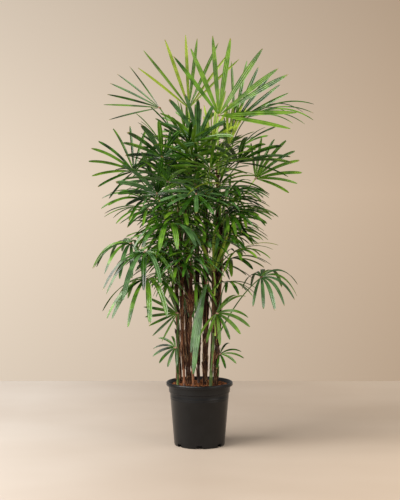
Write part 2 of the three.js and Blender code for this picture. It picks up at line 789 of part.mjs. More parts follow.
/** A leaflet from the web to its pointed tip; it gives back its section at the web. */
function addLeaflet(shell, { stations, length }) {
  const depth = Math.max(BLADE.thinnest, length * BLADE.thickness);
  const wide = stations.slice(0, -1);
  const sections = wide.map(({ p, side, up, half }) => section(shell, p, side, up, half, depth));
  sections.slice(1).forEach((here, i) => stretch(shell, sections[i], here));
  const { left, right, rib } = sections[sections.length - 1];
  const tip = shell.point(stations[stations.length - 1].p);
  shell.face(left, right, tip, left, tip, rib, right, rib, tip);
  return sections[0];
}

/** The petiole from the cane to the hub's heel; it gives back the heel's two corners. */
function addPetiole(shell, frond, bottom) {
  const { axis, side } = axesOf(frond);
  const points = frond.petiole;
  const count = points.length - 1;
  const sections = points.slice(0, -1).map((point, i) => {
    const direction = points[i + 1].clone().sub(points[Math.max(0, i - 1)]).normalize();
    const across = side.clone().addScaledVector(direction, -side.dot(direction)).normalize();
    const radius = PETIOLE.base + ((PETIOLE.tip - PETIOLE.base) * i) / count;
    const up = across.clone().cross(direction);
    return section(shell, point, across.clone().negate(), up, radius, PETIOLE.keel * radius);
  });
  const heel = frond.hub.clone().addScaledVector(axis, -HUB.heel);
  sections.push({
    left: shell.point(heel.clone().addScaledVector(side, -PETIOLE.tip)),
    right: shell.point(heel.clone().addScaledVector(side, PETIOLE.tip)),
    rib: bottom,
  });
  sections.slice(1).forEach((here, i) => stretch(shell, sections[i], here));
  shell.face(sections[0].left, sections[0].rib, sections[0].right);
  return sections[count];
}

/** A frond: a shallow cone of web round the hub, with the leaflets and the petiole on its edge. */
function frondSolid(frond) {
  const { normal } = axesOf(frond);
  const shell = new Shell();
  const top = shell.point(frond.hub.clone().addScaledVector(normal, HUB.crest));
  const bottom = shell.point(frond.hub.clone().addScaledVector(normal, -HUB.depth));
  const edge = frond.grown.map((leaflet) => {
    if (leaflet.stations) return addLeaflet(shell, leaflet);
    const notch = shell.point(frond.hub.clone().addScaledVector(leaflet.direction, HUB.web * HUB.skip));
    return { left: notch, right: notch };
  });
  for (const { left, right, rib } of edge) {
    if (rib !== undefined) shell.face(top, right, left, bottom, left, rib, bottom, rib, right);
  }
  const heel = addPetiole(shell, frond, bottom);
  shell.face(top, heel.left, heel.right);
  edge.push({ left: heel.right, right: heel.left });
  edge.forEach(({ left }, i) => {
    const { right } = edge.at(i - 1);
    shell.face(top, left, right, bottom, right, left);
  });
  return shell.solid();
}

/** The sheath on a cane's tip with the folded young leaf that stands out of it. */
function sheathSolid(cane) {
  const radius = cane.radius * CANE.tipTaper;
  const heights = [GAP, WHORL.sheath, WHORL.spear];
  const centres = heights.map((h) => cane.tip.clone().addScaledVector(UP, h));
  return limb(centres, [radius, radius * WHORL.sheathTop, WHORL.spearTip], WHORL.sides);
}

// ---------------------------------------------------------------- growing the plant

function growPlant() {
  const canes = CANES.map((row, index) => new Cane(row, index));
  const fronds = [...outlineFronds(), ...whorlFronds(canes)];
  const standing = new Standing();
  canes.forEach((cane, index) => {
    const count = CANE.straightPieces;
    for (let i = 0; i < count; i++) {
      const [a, b] = [i, i + 1].map((k) => cane.at(cane.foot.z + ((cane.tip.z - cane.foot.z) * k) / count));
      const room = cane.radius + ROOM.cane;
      standing.add(a, b, vector(1, 0, 0), room - MARGIN, room - MARGIN, room, null, `cane_${index}`);
    }
    const node = `whorl_${String(index + 1).padStart(2, '0')}`;
    const spear = cane.tip.clone().addScaledVector(UP, WHORL.spear);
    const thick = cane.radius * CANE.tipTaper + ROOM.sheath;
    standing.add(cane.tip, spear, vector(1, 0, 0), thick, ROOM.sheath, thick, null, node);
  });
  const addHub = (frond, index) => {
    const room = HUB.web * ROOM.hubShare;
    const [a, b] = [-ROOM.hubHalf, ROOM.hubHalf].map((h) => frond.hub.clone().addScaledVector(UP, h));
    standing.add(a, b, vector(1, 0, 0), room, room, room + MARGIN, index, frond.node);
  };
  const addPetiole = (frond, index) => {
    const half = ROOM.petiole - MARGIN;
    frond.petiole?.slice(1).forEach((b, i) => {
      standing.add(frond.petiole[i], b, vector(1, 0.2, 0.1), half, half, ROOM.petiole, index, frond.node);
    });
  };
  fronds.forEach((frond, index) => {
    if (!frond.turnTo) addHub(frond, index);
  });
  fronds.forEach((frond, index) => {
    for (const turn of frond.turnTo ? WHORL_TURNS : [0]) {
      frond.turnTo?.(turn);
      if (frond.turnTo && !hubFree(frond, index, standing)) continue;
      frond.petiole = growPetiole(frond, index, canes, standing);
      if (frond.petiole) break;
    }
    if (frond.turnTo && frond.petiole) addHub(frond, index);
    addPetiole(frond, index);
  });
  fronds.forEach((frond, index) => {
    if (!frond.petiole) return;
    frond.grown = growLeaflets(frond, index, standing);
    for (const { stations } of frond.grown) {
      if (!stations) continue;
      stations.slice(1).forEach((b, i) => {
        const a = stations[i];
        standing.add(a.p, b.p, a.side.clone().add(b.side), a.half, b.half, ROOM.blade, index, frond.node);
      });
    }
  });
  return { canes, fronds: fronds.filter((frond) => frond.petiole) };
}

// ---------------------------------------------------------------- the part

const material = (colour, roughness) =>
  new THREE.MeshStandardMaterial({ color: colour, roughness, metalness: 0 });

function named(name, solid, finish) {
  const mesh = new THREE.Mesh(geometryOf(solid), finish);
  mesh.name = name;
  return mesh;
}

function buildPart() {
  const part = new THREE.Group();
  const { canes, fronds } = growPlant();
  part.add(named('pot', potSolid(), material(COLOURS.pot, 0.45)));
  part.add(named('soil', soilSolid(), material(COLOURS.soil, 0.95)));
  canes.forEach((cane, index) => {
    const name = `cane_${String(index + 1).padStart(2, '0')}`;
    part.add(named(name, cane.solid(), material(COLOURS.cane, 0.85)));
  });
  const nodes = [...new Set(fronds.map((frond) => frond.node))];
  for (const node of nodes) {
    const members = fronds.filter((frond) => frond.node === node);
    const pieces = members.map(frondSolid);
    const { cane, habit } = members[0];
    if (cane !== undefined) pieces.push(sheathSolid(canes[cane]));
    const colour = cane === undefined ? COLOURS[habit] : COLOURS.whorl;
    part.add(named(node, pieces.reduce((whole, piece) => whole.add(piece)), material(colour, 0.5)));
  }
  return part;
}

export default buildPart();
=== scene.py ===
"""Lady palm in a black nursery pot: canes in fibre sheaths, fan fronds and the potting mix.

Sizes are in millimetres up to the meshes, which are in metres. The origin is the middle of the
pot's flat underside, +X is the plant's right side and -Y its front.
"""

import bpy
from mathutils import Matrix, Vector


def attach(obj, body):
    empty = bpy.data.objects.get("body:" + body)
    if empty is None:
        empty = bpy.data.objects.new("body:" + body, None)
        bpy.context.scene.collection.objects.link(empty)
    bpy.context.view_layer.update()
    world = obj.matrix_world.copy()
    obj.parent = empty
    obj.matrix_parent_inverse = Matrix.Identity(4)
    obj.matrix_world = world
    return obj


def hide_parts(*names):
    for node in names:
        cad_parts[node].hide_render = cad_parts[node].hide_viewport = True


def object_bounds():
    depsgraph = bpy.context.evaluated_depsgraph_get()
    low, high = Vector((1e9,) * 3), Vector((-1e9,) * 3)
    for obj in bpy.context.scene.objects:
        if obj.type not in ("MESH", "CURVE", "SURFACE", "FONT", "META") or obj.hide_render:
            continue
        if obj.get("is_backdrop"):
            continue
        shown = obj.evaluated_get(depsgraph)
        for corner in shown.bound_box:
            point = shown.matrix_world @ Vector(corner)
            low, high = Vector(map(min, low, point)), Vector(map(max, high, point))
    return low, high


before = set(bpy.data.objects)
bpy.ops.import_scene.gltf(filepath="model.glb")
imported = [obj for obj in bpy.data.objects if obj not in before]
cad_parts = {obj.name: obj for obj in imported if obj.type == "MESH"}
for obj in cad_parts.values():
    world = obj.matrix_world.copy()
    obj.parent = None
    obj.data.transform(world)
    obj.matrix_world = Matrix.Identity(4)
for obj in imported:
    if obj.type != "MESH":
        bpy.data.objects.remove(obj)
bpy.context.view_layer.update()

import logging
from dataclasses import dataclass, field
from enum import Enum
from math import atan2, ceil, cos, degrees, floor, hypot, pi, radians, sin, sqrt, tan, tau
from typing import ClassVar, Iterable, Sequence

import bpy
import numpy as np
from bpy.types import Material, Node, NodeSocket, NodeTree, Object
from mathutils import Matrix, Vector, noise

Array = np.ndarray
Pair = tuple[float, float]
Triple = tuple[float, float, float]
LOG = logging.getLogger("lady_palm")
MM = 0.001
BODY = "root"
UP = np.array([0.0, 0.0, 1.0])
RIGHT = np.array([1.0, 0.0, 0.0])
LEVEL = np.array([1.0, 1.0, 0.0])  # leaves of a vector what lies in the floor's plane
SKEW = np.array([0.3, 1.0, 0.2])  # along none of the plant's lines, to start a section from
MASK = 0xFFFFFFFF


# ---- numbers


class Seed:
    """First seeds of the rows of random numbers, one for each thing that varies."""

    BOW = 1000
    WHORL = 300
    FROND = 500
    LEAFLET = 7000
    LEAFLETS_PER_FROND = 40
    TONE = 2600
    SPEAR = 4000
    STEM = 5000
    SHEATH = 5600
    TUFT = 5900
    INNER = 90
    CHIPS = 61
    THREADS = 67


class Seeded:
    """Seeded random numbers, the same in every run."""

    STEP = 0x6D2B79F5
    ODD = 61  # with the shifts below, it mixes the bits of the state

    def __init__(self, seed: int) -> None:
        """Starts the row of numbers at a seed."""
        self.state = seed & MASK

    def next(self) -> float:
        """Gives the next number.

        Returns:
            A number from 0 to 1.
        """
        self.state = (self.state + self.STEP) & MASK
        t = self.state
        t = ((t ^ (t >> 15)) * (t | 1)) & MASK
        t ^= (t + (((t ^ (t >> 7)) * (t | self.ODD)) & MASK)) & MASK
        return ((t ^ (t >> 14)) & MASK) / (MASK + 1)

    def spread(self, half: float) -> float:
        """Gives a number from -half to half."""
        return (2 * self.next() - 1) * half

    def between(self, low: float, high: float) -> float:
        """Gives a number from low to high."""
        return low + (high - low) * self.next()

    def pick(self, options: Sequence) -> object:
        """Gives one of the options."""
        return options[int(self.next() * len(options)) % len(options)]


def along(points: Sequence[Pair], x: float | Array) -> float | Array:
    """Value at x, or at each of several, of a line through (x, y) points."""
    return np.interp(x, *zip(*points))


def unit(v: Array) -> Array:
    """A vector, or rows of vectors, at length 1."""
    return v / np.linalg.norm(v, axis=-1, keepdims=True)


def heading(azimuth: float) -> Array:
    """The level direction at an azimuth in degrees."""
    return np.array([cos(radians(azimuth)), sin(radians(azimuth)), 0.0])


def smooth(t: float) -> float:
    """Eases a share from 0 to 1 in and out."""
    t = min(1.0, max(0.0, t))
    return t * t * (3 - 2 * t)


# ---- sizes of the clump

GAP = 0.3  # between the potting mix and what it touches
SOIL_TOP = 214.0

# How far a cane bows at most, its thickness by the share of its height, and the number of
# straight pieces that it is tested as.
CANE_BOW = 9.0
CANE_FLARE = ((0.0, 1.2), (0.08, 1.0), (1.0, 0.8))
CANE_STRAIGHT_PIECES = 8


class Bark(Enum):
    """What a cane shows: brown fibre, a paler and redder one, or green skin."""

    BROWN = "brown"
    TAN = "tan"
    GREEN = "green"


# Foot x and y, tip x, y and z, radius, number of fronds in the whorl on the tip, bark.
CANES = (
    (-80, -18, -86, -22, 640, 5, 0, Bark.GREEN),
    (-70, 30, -80, 50, 700, 5.5, 4, Bark.BROWN),
    (-55, -42, -70, -62, 830, 6, 4, Bark.TAN),
    (-38, -8, -46, -6, 960, 8.5, 3, Bark.BROWN),
    (-22, -58, -30, -84, 700, 5, 3, Bark.TAN),
    (-3, 24, -10, 34, 1010, 6.5, 3, Bark.BROWN),
    (20, -26, 24, -40, 880, 7, 4, Bark.BROWN),
    (39, -58, 50, -76, 614, 7, 0, Bark.GREEN),
    (57, 4, 66, -8, 1000, 6.5, 1, Bark.BROWN),
    (60, -30, 76, -40, 790, 6.5, 4, Bark.BROWN),
    (40, 40, 62, 62, 720, 6, 4, Bark.GREEN),
    (20, 66, 18, 96, 870, 6.5, 4, Bark.BROWN),
    (-41, 64, -50, 92, 800, 6.5, 4, Bark.TAN),
)


class Age(Enum):
    """Age of a frond, which sets how its leaflets stand."""

    YOUNG = "young"
    OPEN = "open"
    ARCHING = "arching"
    HANGING = "hanging"


@dataclass(frozen=True)
class Habit:
    """How the leaflets of a frond of one age stand.

    The angle over which they fan out, how far they droop, how much the fan cups upwards,
    their width, how much shorter the outer ones are and the straight pieces they are tried as.
    """

    spread: float
    droop: float
    cup: float
    width: float
    falloff: float
    segments: int


HABITS = {
    Age.YOUNG: Habit(150, 0.1, 0.1, 21, 0.06, 2),
    Age.OPEN: Habit(205, 0.45, 0.08, 18, 0.16, 2),
    Age.ARCHING: Habit(225, 1.0, 0.1, 18, 0.2, 2),
    Age.HANGING: Habit(250, 2.2, 0.18, 20, 0.2, 3),
}


class Origin(Enum):
    """Where a frond springs from: the nearest cane, a cane's tip, or the side of a given cane."""

    LISTED = "listed"
    WHORL = "whorl"
    INNER = "inner"


class Tone(Enum):
    """Green of a frond, from the newest to the oldest. The greens also paint light and shade:
    DEEP is painted shade, SILVER's grey-green is partly a painted sheen, and the paler greens
    are partly painted light.
    """

    LIME = "lime"
    FRESH = "fresh"
    GREEN = "green"
    DEEP = "deep"
    SILVER = "silver"


Y, O, A, H = Age.YOUNG, Age.OPEN, Age.ARCHING, Age.HANGING
LI, FR, GR, DE, SI = Tone.LIME, Tone.FRESH, Tone.GREEN, Tone.DEEP, Tone.SILVER

# Name, place of the hub, azimuth, tilt and roll of the fan in degrees, length of its leaflets,
# their number, age, the angle over which they fan out and their width (0 for the age's own)
# and tone. The tone is partly painted light and shade: darker greens for fronds in shade,
# paler ones for fronds in light.
FRONDS = (
    ("top_right", 70, -30, 1199, 0, 57, 82, 280, 9, Y, 136, 18, FR),
    ("top_left", -39, 40, 1229, 180, 85, -80, 262, 8, Y, 100, 12, LI),
    ("top_back", 130, 90, 1180, 0, 60, 72, 232, 6, Y, 66, 14, GR),
    ("right_top", 170, 20, 1192, 0, 24, 26, 262, 7, A, 62, 10, GR),
    ("left_top", -144, 0, 1228, 180, 20, -52, 208, 6, Y, 84, 9, DE),
    ("crown_front", -5, -70, 1103, -124, 62, 0, 182, 9, O, 140, 17, SI),
    ("right_upper", 140, -60, 1028, -64, 27, -13, 218, 9, O, 150, 19, DE),
    ("right_fan", 205, 40, 972, 0, 42, 68, 172, 9, O, 112, 13, FR),
    ("right_inner", 110, -50, 945, -35, 0, 0, 160, 10, A, 0, 13, SI),
    ("left_upper", -134, -90, 1047, -110, 50, 0, 158, 10, O, 0, 20, DE),
    ("left_far", -238, -16, 998, 180, 52, -62, 176, 11, O, 180, 11, GR),
    ("left_front", -151, -110, 917, -100, 62, 0, 165, 10, O, 0, 19, DE),
    ("centre_front", -12, -150, 918, -88, -26, 0, 140, 11, O, 280, 17, SI),
    ("left_mid", -182, -60, 862, 195, 5, -10, 165, 11, A, 0, 12, GR),
    ("front_hanging", -102, -170, 812, -105, 0, 0, 176, 11, H, 270, 20, SI),
    ("right_mid", 98, -60, 850, -20, 8, 20, 165, 12, A, 0, 12, DE),
    ("left_low_1", -246, -60, 739, 190, 0, -20, 185, 10, H, 220, 17, SI),
    ("left_low_2", -193, -130, 712, -130, -20, 0, 215, 10, H, 240, 19, SI),
    ("left_low_3", -188, -90, 614, -125, -20, 0, 225, 10, H, 235, 20, GR),
    ("right_low_1", 126, -70, 709, -20, 20, 10, 165, 10, A, 0, 13, FR),
    ("right_low_2", 223, -40, 616, 0, 16, 30, 165, 11, H, 235, 17, SI),
    ("right_low_3", 100, -60, 602, -40, 0, 0, 130, 9, A, 0, 13, DE),
    ("left_small", -80, -60, 489, 180, 4, -78, 122, 8, Y, 130, 12, GR),
    ("centre_low", 62, -95, 491, -20, -10, 50, 130, 10, A, 235, 14, FR),
    ("centre_new", 50, -104, 640, -90, 84, 0, 152, 6, Y, 72, 13, LI),
    ("centre_hanging", 29, -125, 604, -112, -60, 0, 330, 2, H, 16, 22, SI),
    ("left_tuft", -86, -50, 362, 190, 0, -50, 92, 7, A, 170, 14, GR),
    ("right_tuft", 74, -50, 338, -10, 10, 30, 88, 7, A, 200, 12, DE),
    ("mid_right", 80, -80, 771, -60, 10, 0, 150, 10, A, 0, 13, DE),
    ("left_inner", -111, -150, 960, -130, 38, 0, 155, 10, O, 0, 19, DE),
    ("right_outer", 112, 30, 895, 10, 18, 25, 145, 11, A, 210, 12, DE),
    ("right_side", 112, 40, 792, 10, 10, 20, 150, 11, A, 210, 12, FR),
    ("top_new", 104, -14, 1088, 0, 76, 60, 158, 4, Y, 27, 15, LI),
    ("left_edge", -196, -40, 896, 182, 16, -30, 168, 8, A, 150, 12, GR),
)

# Where the leaflets of some fronds stand, as shares of half the angle of the fan.
PLACES = {
    "frond_top_right": (-1, -0.78, -0.55, -0.33, -0.03, 0.25, 0.38, 0.79, 1),
    "frond_top_left": (-0.95, -0.7, -0.33, 0.02, 0.25, 0.52, 0.8, 1),
    "frond_centre_hanging": (-0.3, 1),
}

# The frond whose leaflets still part, on a wide pale stalk.
NEWEST_FROND = "frond_top_new"

# Half width of the crown by height, which the whorls keep inside.
CROWN = ((380, 150), (480, 190), (600, 250), (700, 270), (800, 265), (900, 300), (1000, 330),
         (1100, 300), (1200, 220))

# How far the inner fronds reach at most to the right of the middle, by height.
RIGHT_EDGE = ((480, 150), (600, 190), (700, 205), (800, 220), (900, 200), (980, 215), (1100, 250))

# The tones that the fronds of the whorls and the inner ones take in turn. Most are the darker
# greens, as painted shade inside the crown.
WHORL_TONES = (DE, GR, DE, GR, FR, DE, GR, SI)
INNER_TONES = (DE, GR, DE, GR, DE, GR, DE, SI, DE, FR)

# Painted light: the paler tones for those on the right, which stand for the light that falls
# there. An inner frond's hub stands at least so far out, and the cosine of the azimuth of a
# whorl's frond is at least that.
SUNLIT_TONES = (GR, FR, SI, FR, GR)
SUNLIT_HUB = 80
SUNLIT_COSINE = 0.4

# Where the crown is open and young stalks show: from and to, across and up, and the depth up
# to which the inner fronds keep out.
CROWN_GAPS = ((20, 215, 935, 1150, 400), (0, 120, 590, 800, -60))

# Young fans in the crown's top that face the sides: the index of the cane they grow from,
# place of the hub, azimuth and tilt in degrees, length and number of leaflets and tone.
SIDE_FANS = (
    (5, 45, 100, 1115, 20, 74, 185, 9, LI),
    (5, -45, 108, 1105, 160, 74, 180, 9, FR),
    (3, -62, 30, 1085, 184, 70, 165, 8, FR),
    (8, 95, 62, 1120, -12, 66, 175, 9, FR),
    (5, 5, 150, 1060, 80, 52, 185, 9, GR),
    (5, -8, -38, 1120, 184, 82, 150, 7, FR),
)


@dataclass(frozen=True)
class WhorlRule:
    """The whorl of fronds on a cane's tip. A vary is how far a value may go either way."""

    leaflets: int = 9
    widths: tuple[float, ...] = (16, 12, 14)
    blade: float = 160
    blade_vary: float = 15
    blade_high: float = 15
    high_hub: float = 900
    low_share: float = 0.75
    short_cane: float = 560
    fan: float = 88
    azimuth_vary: float = 14
    lift: Triple = (-50, 140, 15)
    lift_high: Triple = (30, 140, 0)
    high_cane: float = 930
    reach: float = 110
    reach_vary: float = 30
    least_reach: float = 55
    margin: float = 60
    tilt: float = 2
    tilt_rise: float = 50
    rise_from: float = 500
    rise_over: float = 650
    tilt_order: float = 12
    tilt_vary: float = 8
    roll_vary: float = 18
    open_from: float = 960
    arching_from: float = 640
    sheath: float = 40
    spear: float = 150


@dataclass(frozen=True)
class PetioleRule:
    """Radii of a petiole, and how its curve leaves the cane and comes in to the hub."""

    base: float = 2.9
    tip: float = 2.2
    segments: int = 5
    clearance: float = 3.4
    lean: float = 0.55
    lean_in_whorl: float = 0.45
    out_handle: float = 0.38
    in_handle: float = 0.34
    along_blade: float = 0.7
    top_gap: float = 10
    soil_gap: float = 20
    start: float = 18


@dataclass(frozen=True)
class ChoiceRule:
    """What a frond weighs when it looks for its cane."""

    rise: float = 0.9
    foot: float = 60
    tip: float = 12
    short: float = 0.8
    low: float = 0.6
    stem: float = 160
    carried: float = 35
    soil_gap: float = 40


@dataclass(frozen=True)
class LeafletRule:
    """How the leaflets of one frond differ, and what their size follows."""

    yaw_vary: float = 3
    yaw_share: float = 0.15
    root_width: float = 0.75
    length_vary: float = 0.06
    droop_vary: float = 0.2
    twist_vary: float = 0.35
    lift_vary: float = 4
    width_vary: float = 0.08
    narrowing: float = 0.25
    width_base: float = 0.8
    full_blade: float = 200
    droop_power: float = 1.2
    fine_steps: int = 24
    root_step: int = 3


@dataclass(frozen=True)
class RoomRule:
    """Room in millimetres that a piece keeps free, and the steps of the test for it."""

    margin: float = 3
    cane: float = 5
    sheath: float = 5
    hub: float = 26
    hub_share: float = 0.85
    hub_half: float = 4
    petiole: float = 7.5
    petiole_side: Triple = (1.0, 0.2, 0.1)
    blade: float = 4
    hub_points: int = 8
    blade_step: float = 7
    petiole_step: float = 5


@dataclass(frozen=True)
class InnerRule:
    """The smaller fronds that fill the crown, each from the side of a cane.

    Ranges are from and to. The slack is how much closer than the others they may come.
    """

    tries: int = 760
    hub: Pair = (490, 1130)
    over_tip: Pair = (-290, 150)
    reach: Pair = (40, 130)
    tilt_vary: float = 12
    roll_vary: float = 28.8
    blade: Pair = (115, 165)
    leaflets: tuple[int, ...] = (7, 8, 9)
    widths: tuple[float, ...] = (12, 15, 10, 13)
    least_leaflets: int = 5
    blade_share: float = 0.8
    slack: float = 2.4


WHORL = WhorlRule()
INNER = InnerRule()
PETIOLE = PetioleRule()
CHOICE = ChoiceRule()
LEAFLET = LeafletRule()
ROOM = RoomRule()

# Width of a leaflet by the share of its length, as it is tested.
OUTLINE = ((0, 0.32), (0.25, 0.74), (0.55, 1), (0.82, 0.82), (1, 0.14))

# Degrees in the fan's plane and out of it by which a leaflet turns until it is free, and the
# shares of its length to which it is cut when no turn helps.
TURNS = ((0, 0), (0, 9), (0, -9), (7, 0), (-7, 0), (7, 9), (-7, 9), (7, -9), (-7, -9),
         (0, 18), (0, -18), (12, 4), (-12, 4))
LENGTHS = (1, 0.72, 0.45)

# Steps by which a petiole bends to the side until it is free: a step of SIDE_TURN turns its
# start by 45 degrees, and its end moves by SIDE_PULL of the step. Then the heights by which
# its start drops.
SIDE_STEPS = (0, 14, -14, 28, -28, 45, -45, 60, -60)
SIDE_TURN = 60
SIDE_PULL = 0.5
DROPS = (0, -25, 25, -50, -75)

# Degrees by which a whorl's frond turns until it is free, and the heights over the cane's tip
# at which its petiole starts.
WHORL_TURNS = (0, 14, -14, 28, -28, 42, -42)
SHEATH_STARTS = (10, 24, 36)


# ---- the growing rule


def tilt_at(height: float) -> float:
    """Tilt in degrees of a whorl's frond at a height: the higher, the steeper."""
    rise = max(0, (height - WHORL.rise_from) / WHORL.rise_over)
    return WHORL.tilt + WHORL.tilt_rise * rise ** 2


def age_at(height: float) -> Age:
    """Age of a whorl's frond at a height: the higher, the younger."""
    older = Age.ARCHING if height > WHORL.arching_from else Age.HANGING
    return Age.OPEN if height > WHORL.open_from else older


class Cane:
    """One upright cane, slightly bowed."""

    def __init__(self, row: tuple, index: int) -> None:
        """Reads a cane from its row in the table.

        Args:
            row: the table's row.
            index: its place in the table, which seeds its bow.
        """
        foot_x, foot_y, tip_x, tip_y, tip_z, radius, whorl, bark = row
        rng = Seeded(Seed.BOW + index)
        self.index = index
        self.name = f"cane_{index + 1:02d}"
        self.whorl_name = f"whorl_{index + 1:02d}"
        self.foot = np.array([foot_x, foot_y, SOIL_TOP + GAP], float)
        self.tip = np.array([tip_x, tip_y, tip_z], float)
        self.bow = np.array([rng.spread(CANE_BOW), rng.spread(CANE_BOW), 0.0])
        self.radius = float(radius)
        self.whorl = whorl
        self.bark = bark
        self.carried = 0

    def share(self, z: float) -> float:
        """Share of the cane's height at a height."""
        return (z - self.foot[2]) / (self.tip[2] - self.foot[2])

    def at(self, z: float) -> Array:
        """The cane's middle at a height."""
        t = self.share(z)
        return self.foot + (self.tip - self.foot) * t + self.bow * sin(pi * t)

    def radius_at(self, z: float) -> float:
        """The cane's radius at a height."""
        return self.radius * along(CANE_FLARE, self.share(z))


class Standing:
    """The straight flat pieces that already stand, for the test of what may still grow."""

    KEYS = ("a", "along", "length", "across", "normal", "half0", "half1", "room", "frond",
            "middle", "radius")
    NEAR = 4  # how far off a piece still counts as near

    def __init__(self) -> None:
        """Starts with nothing standing."""
        self.rows: list[tuple] = []
        self.nodes: list[str] = []
        self.table: dict[str, Array] = {}

    def add(self, a: Array, b: Array, side: Array, half0: float, half1: float, room: float,
            frond: int, node: str) -> None:
        """Adds a piece from a to b.

        Args:
            a: its start.
            b: its end.
            side: the way its width runs.
            half0: half its width at the start.
            half1: half its width at the end.
            room: the room it needs off its plane.
            frond: the frond it belongs to, or -1.
            node: the node it belongs to.
        """
        reach = b - a
        length = float(np.linalg.norm(reach))
        reach = reach / length
        across = unit(side - reach * side.dot(reach))
        radius = length / 2 + max(half0, half1, room) + self.NEAR
        self.rows.append((a, reach, length, across, np.cross(reach, across), half0, half1, room,
                          frond, (a + b) / 2, radius))
        self.nodes.append(node)
        self.table = {}

    def blocks(self, points: Array, frond: int, skipped: Sequence[str] = (),
               slack: float = 0.0) -> bool:
        """Tells whether any of the points lies in a piece of another frond.

        Args:
            points: the points, as rows.
            frond: the frond whose own pieces don't count.
            skipped: nodes that don't count either.
            slack: how much less room than usual the pieces keep.

        Returns:
            True if a point is in a piece.
        """
        if not self.table:
            columns = zip(self.KEYS, zip(*self.rows))
            self.table = {key: np.array(values) for key, values in columns}
            self.table["node"] = np.array(self.nodes)
        table = self.table
        middle = points.mean(axis=0)
        radius = np.linalg.norm(points - middle, axis=1).max()
        near = table["frond"] != frond
        for node in skipped:
            near &= table["node"] != node
        near &= np.linalg.norm(table["middle"] - middle, axis=1) < table["radius"] + radius
        near = np.flatnonzero(near)
        if not len(near):
            return False
        offset = points[:, None, :] - table["a"][near][None]
        u = np.einsum("pkc,kc->pk", offset, table["along"][near])
        length = table["length"][near]
        margin = ROOM.margin - slack
        inside = (u > -margin) & (u < length + margin)
        off = np.abs(np.einsum("pkc,kc->pk", offset, table["normal"][near]))
        inside &= off < table["room"][near] - slack
        t = np.clip(u / length, 0, 1)
        half = table["half0"][near] * (1 - t) + table["half1"][near] * t + margin
        inside &= np.abs(np.einsum("pkc,kc->pk", offset, table["across"][near])) < half
        return bool(inside.any())


@dataclass
class Midrib:
    """A leaflet's midrib: points, side and up vectors and half widths at every fine step."""

    points: Array
    sides: Array
    ups: Array
    headings: Array
    halves: Array

    ACROSS: ClassVar[tuple] = (-1, -1 / 3, 1 / 3, 1)  # where the blade is tested, side to side

    @classmethod
    def curve(cls, hub: Array, direction: Array, normal: Array, length: float, droop: float,
              width: float, twist: float, gap: float) -> "Midrib":
        """Bends a midrib from the hub.

        Args:
            hub: where it starts.
            direction: the way it starts.
            normal: the fan's upper side.
            length: its length.
            droop: how far it bends down.
            width: the leaflet's greatest width.
            twist: its turn from foot to tip, in radians.
            gap: the angle to its neighbours in radians, from which it stays clear.

        Returns:
            The midrib.
        """
        s = np.arange(LEAFLET.fine_steps + 1) / LEAFLET.fine_steps
        first = unit(np.cross(normal, direction))
        ways = unit(direction[None] - np.outer(droop * s ** LEAFLET.droop_power, UP))
        flat = unit(first[None] - ways * (ways @ first)[:, None])
        turn = (twist * s)[:, None]
        sides = flat * np.cos(turn) + np.cross(ways, flat) * np.sin(turn)
        steps = np.cumsum(ways[:-1] * (length / LEAFLET.fine_steps), axis=0)
        points = hub + np.vstack([np.zeros(3), steps])
        halves = 0.5 * width * along(OUTLINE, s)
        halves = np.minimum(halves, LEAFLET.root_width * length * s * tan(gap / 2))
        return cls(points, sides, np.cross(ways, sides), ways, halves)

    def blade_points(self, steps: Sequence[int]) -> Array:
        """Spreads points over the blade.

        Args:
            steps: the fine steps between which the blade is taken as straight.

        Returns:
            The points, as rows.
        """
        found = []
        for i, j in zip(steps, steps[1:]):
            a, b = self.points[i], self.points[j]
            count = max(2, ceil(float(np.linalg.norm(b - a)) / ROOM.blade_step))
            t = (np.arange(count + 1) / count)[:, None]
            middle = a * (1 - t) + b * t
            side = self.sides[i] * (1 - t) + self.sides[j] * t
            half = self.halves[i] * (1 - t) + self.halves[j] * t
            found += [middle + side * half * q for q in self.ACROSS]
        return np.vstack(found)


@dataclass
class Leaflet:
    """A leaflet that has grown, up to its last fine step."""

    rib: Midrib
    last: int
    length: float
    width: float
    gap: float
    seed: int


@dataclass
class Frond:
    """A fan of leaflets on its petiole."""

    node: str
    index: int
    azimuth: float
    tilt: float
    roll: float
    blade: float
    leaflets: int
    age: Age
    spread: float
    width: float
    tone: Tone
    hub: Array
    origin: Origin = Origin.LISTED
    cane: int = -1
    home: float = 0.0
    reach: float = 0.0
    lift: float = 0.0
    handles: tuple = ()
    grown: list = field(default_factory=list)

    def axes(self) -> tuple[Array, Array, Array]:
        """Gives the fan's own directions.

        Returns:
            Its axis, its normal and its side.
        """
        out, e, r = heading(self.azimuth), radians(self.tilt), radians(self.roll)
        axis, level = out * cos(e) + UP * sin(e), UP * cos(e) - out * sin(e)
        normal = level * cos(r) + np.cross(axis, level) * sin(r)
        return axis, normal, np.cross(axis, normal)

    def slack(self) -> float:
        """How much closer than usual the frond may come to what stands."""
        return INNER.slack if self.origin is Origin.INNER else 0.0

    def turn_to(self, turn: float, tip: Array) -> None:
        """Turns a whorl's frond round its cane's tip."""
        self.azimuth = self.home + turn
        self.hub = tip + heading(self.azimuth) * self.reach + UP * self.lift

    def petiole_points(self, count: int) -> list[Array]:
        """Gives the petiole's points, from the cane to the hub.

        Args:
            count: the number of steps.

        Returns:
            The points.
        """
        a, b, c, d = self.handles
        shares = ((i / count, 1 - i / count) for i in range(count + 1))
        return [a * r ** 3 + b * (3 * r * r * t) + c * (3 * r * t * t) + d * t ** 3
                for t, r in shares]


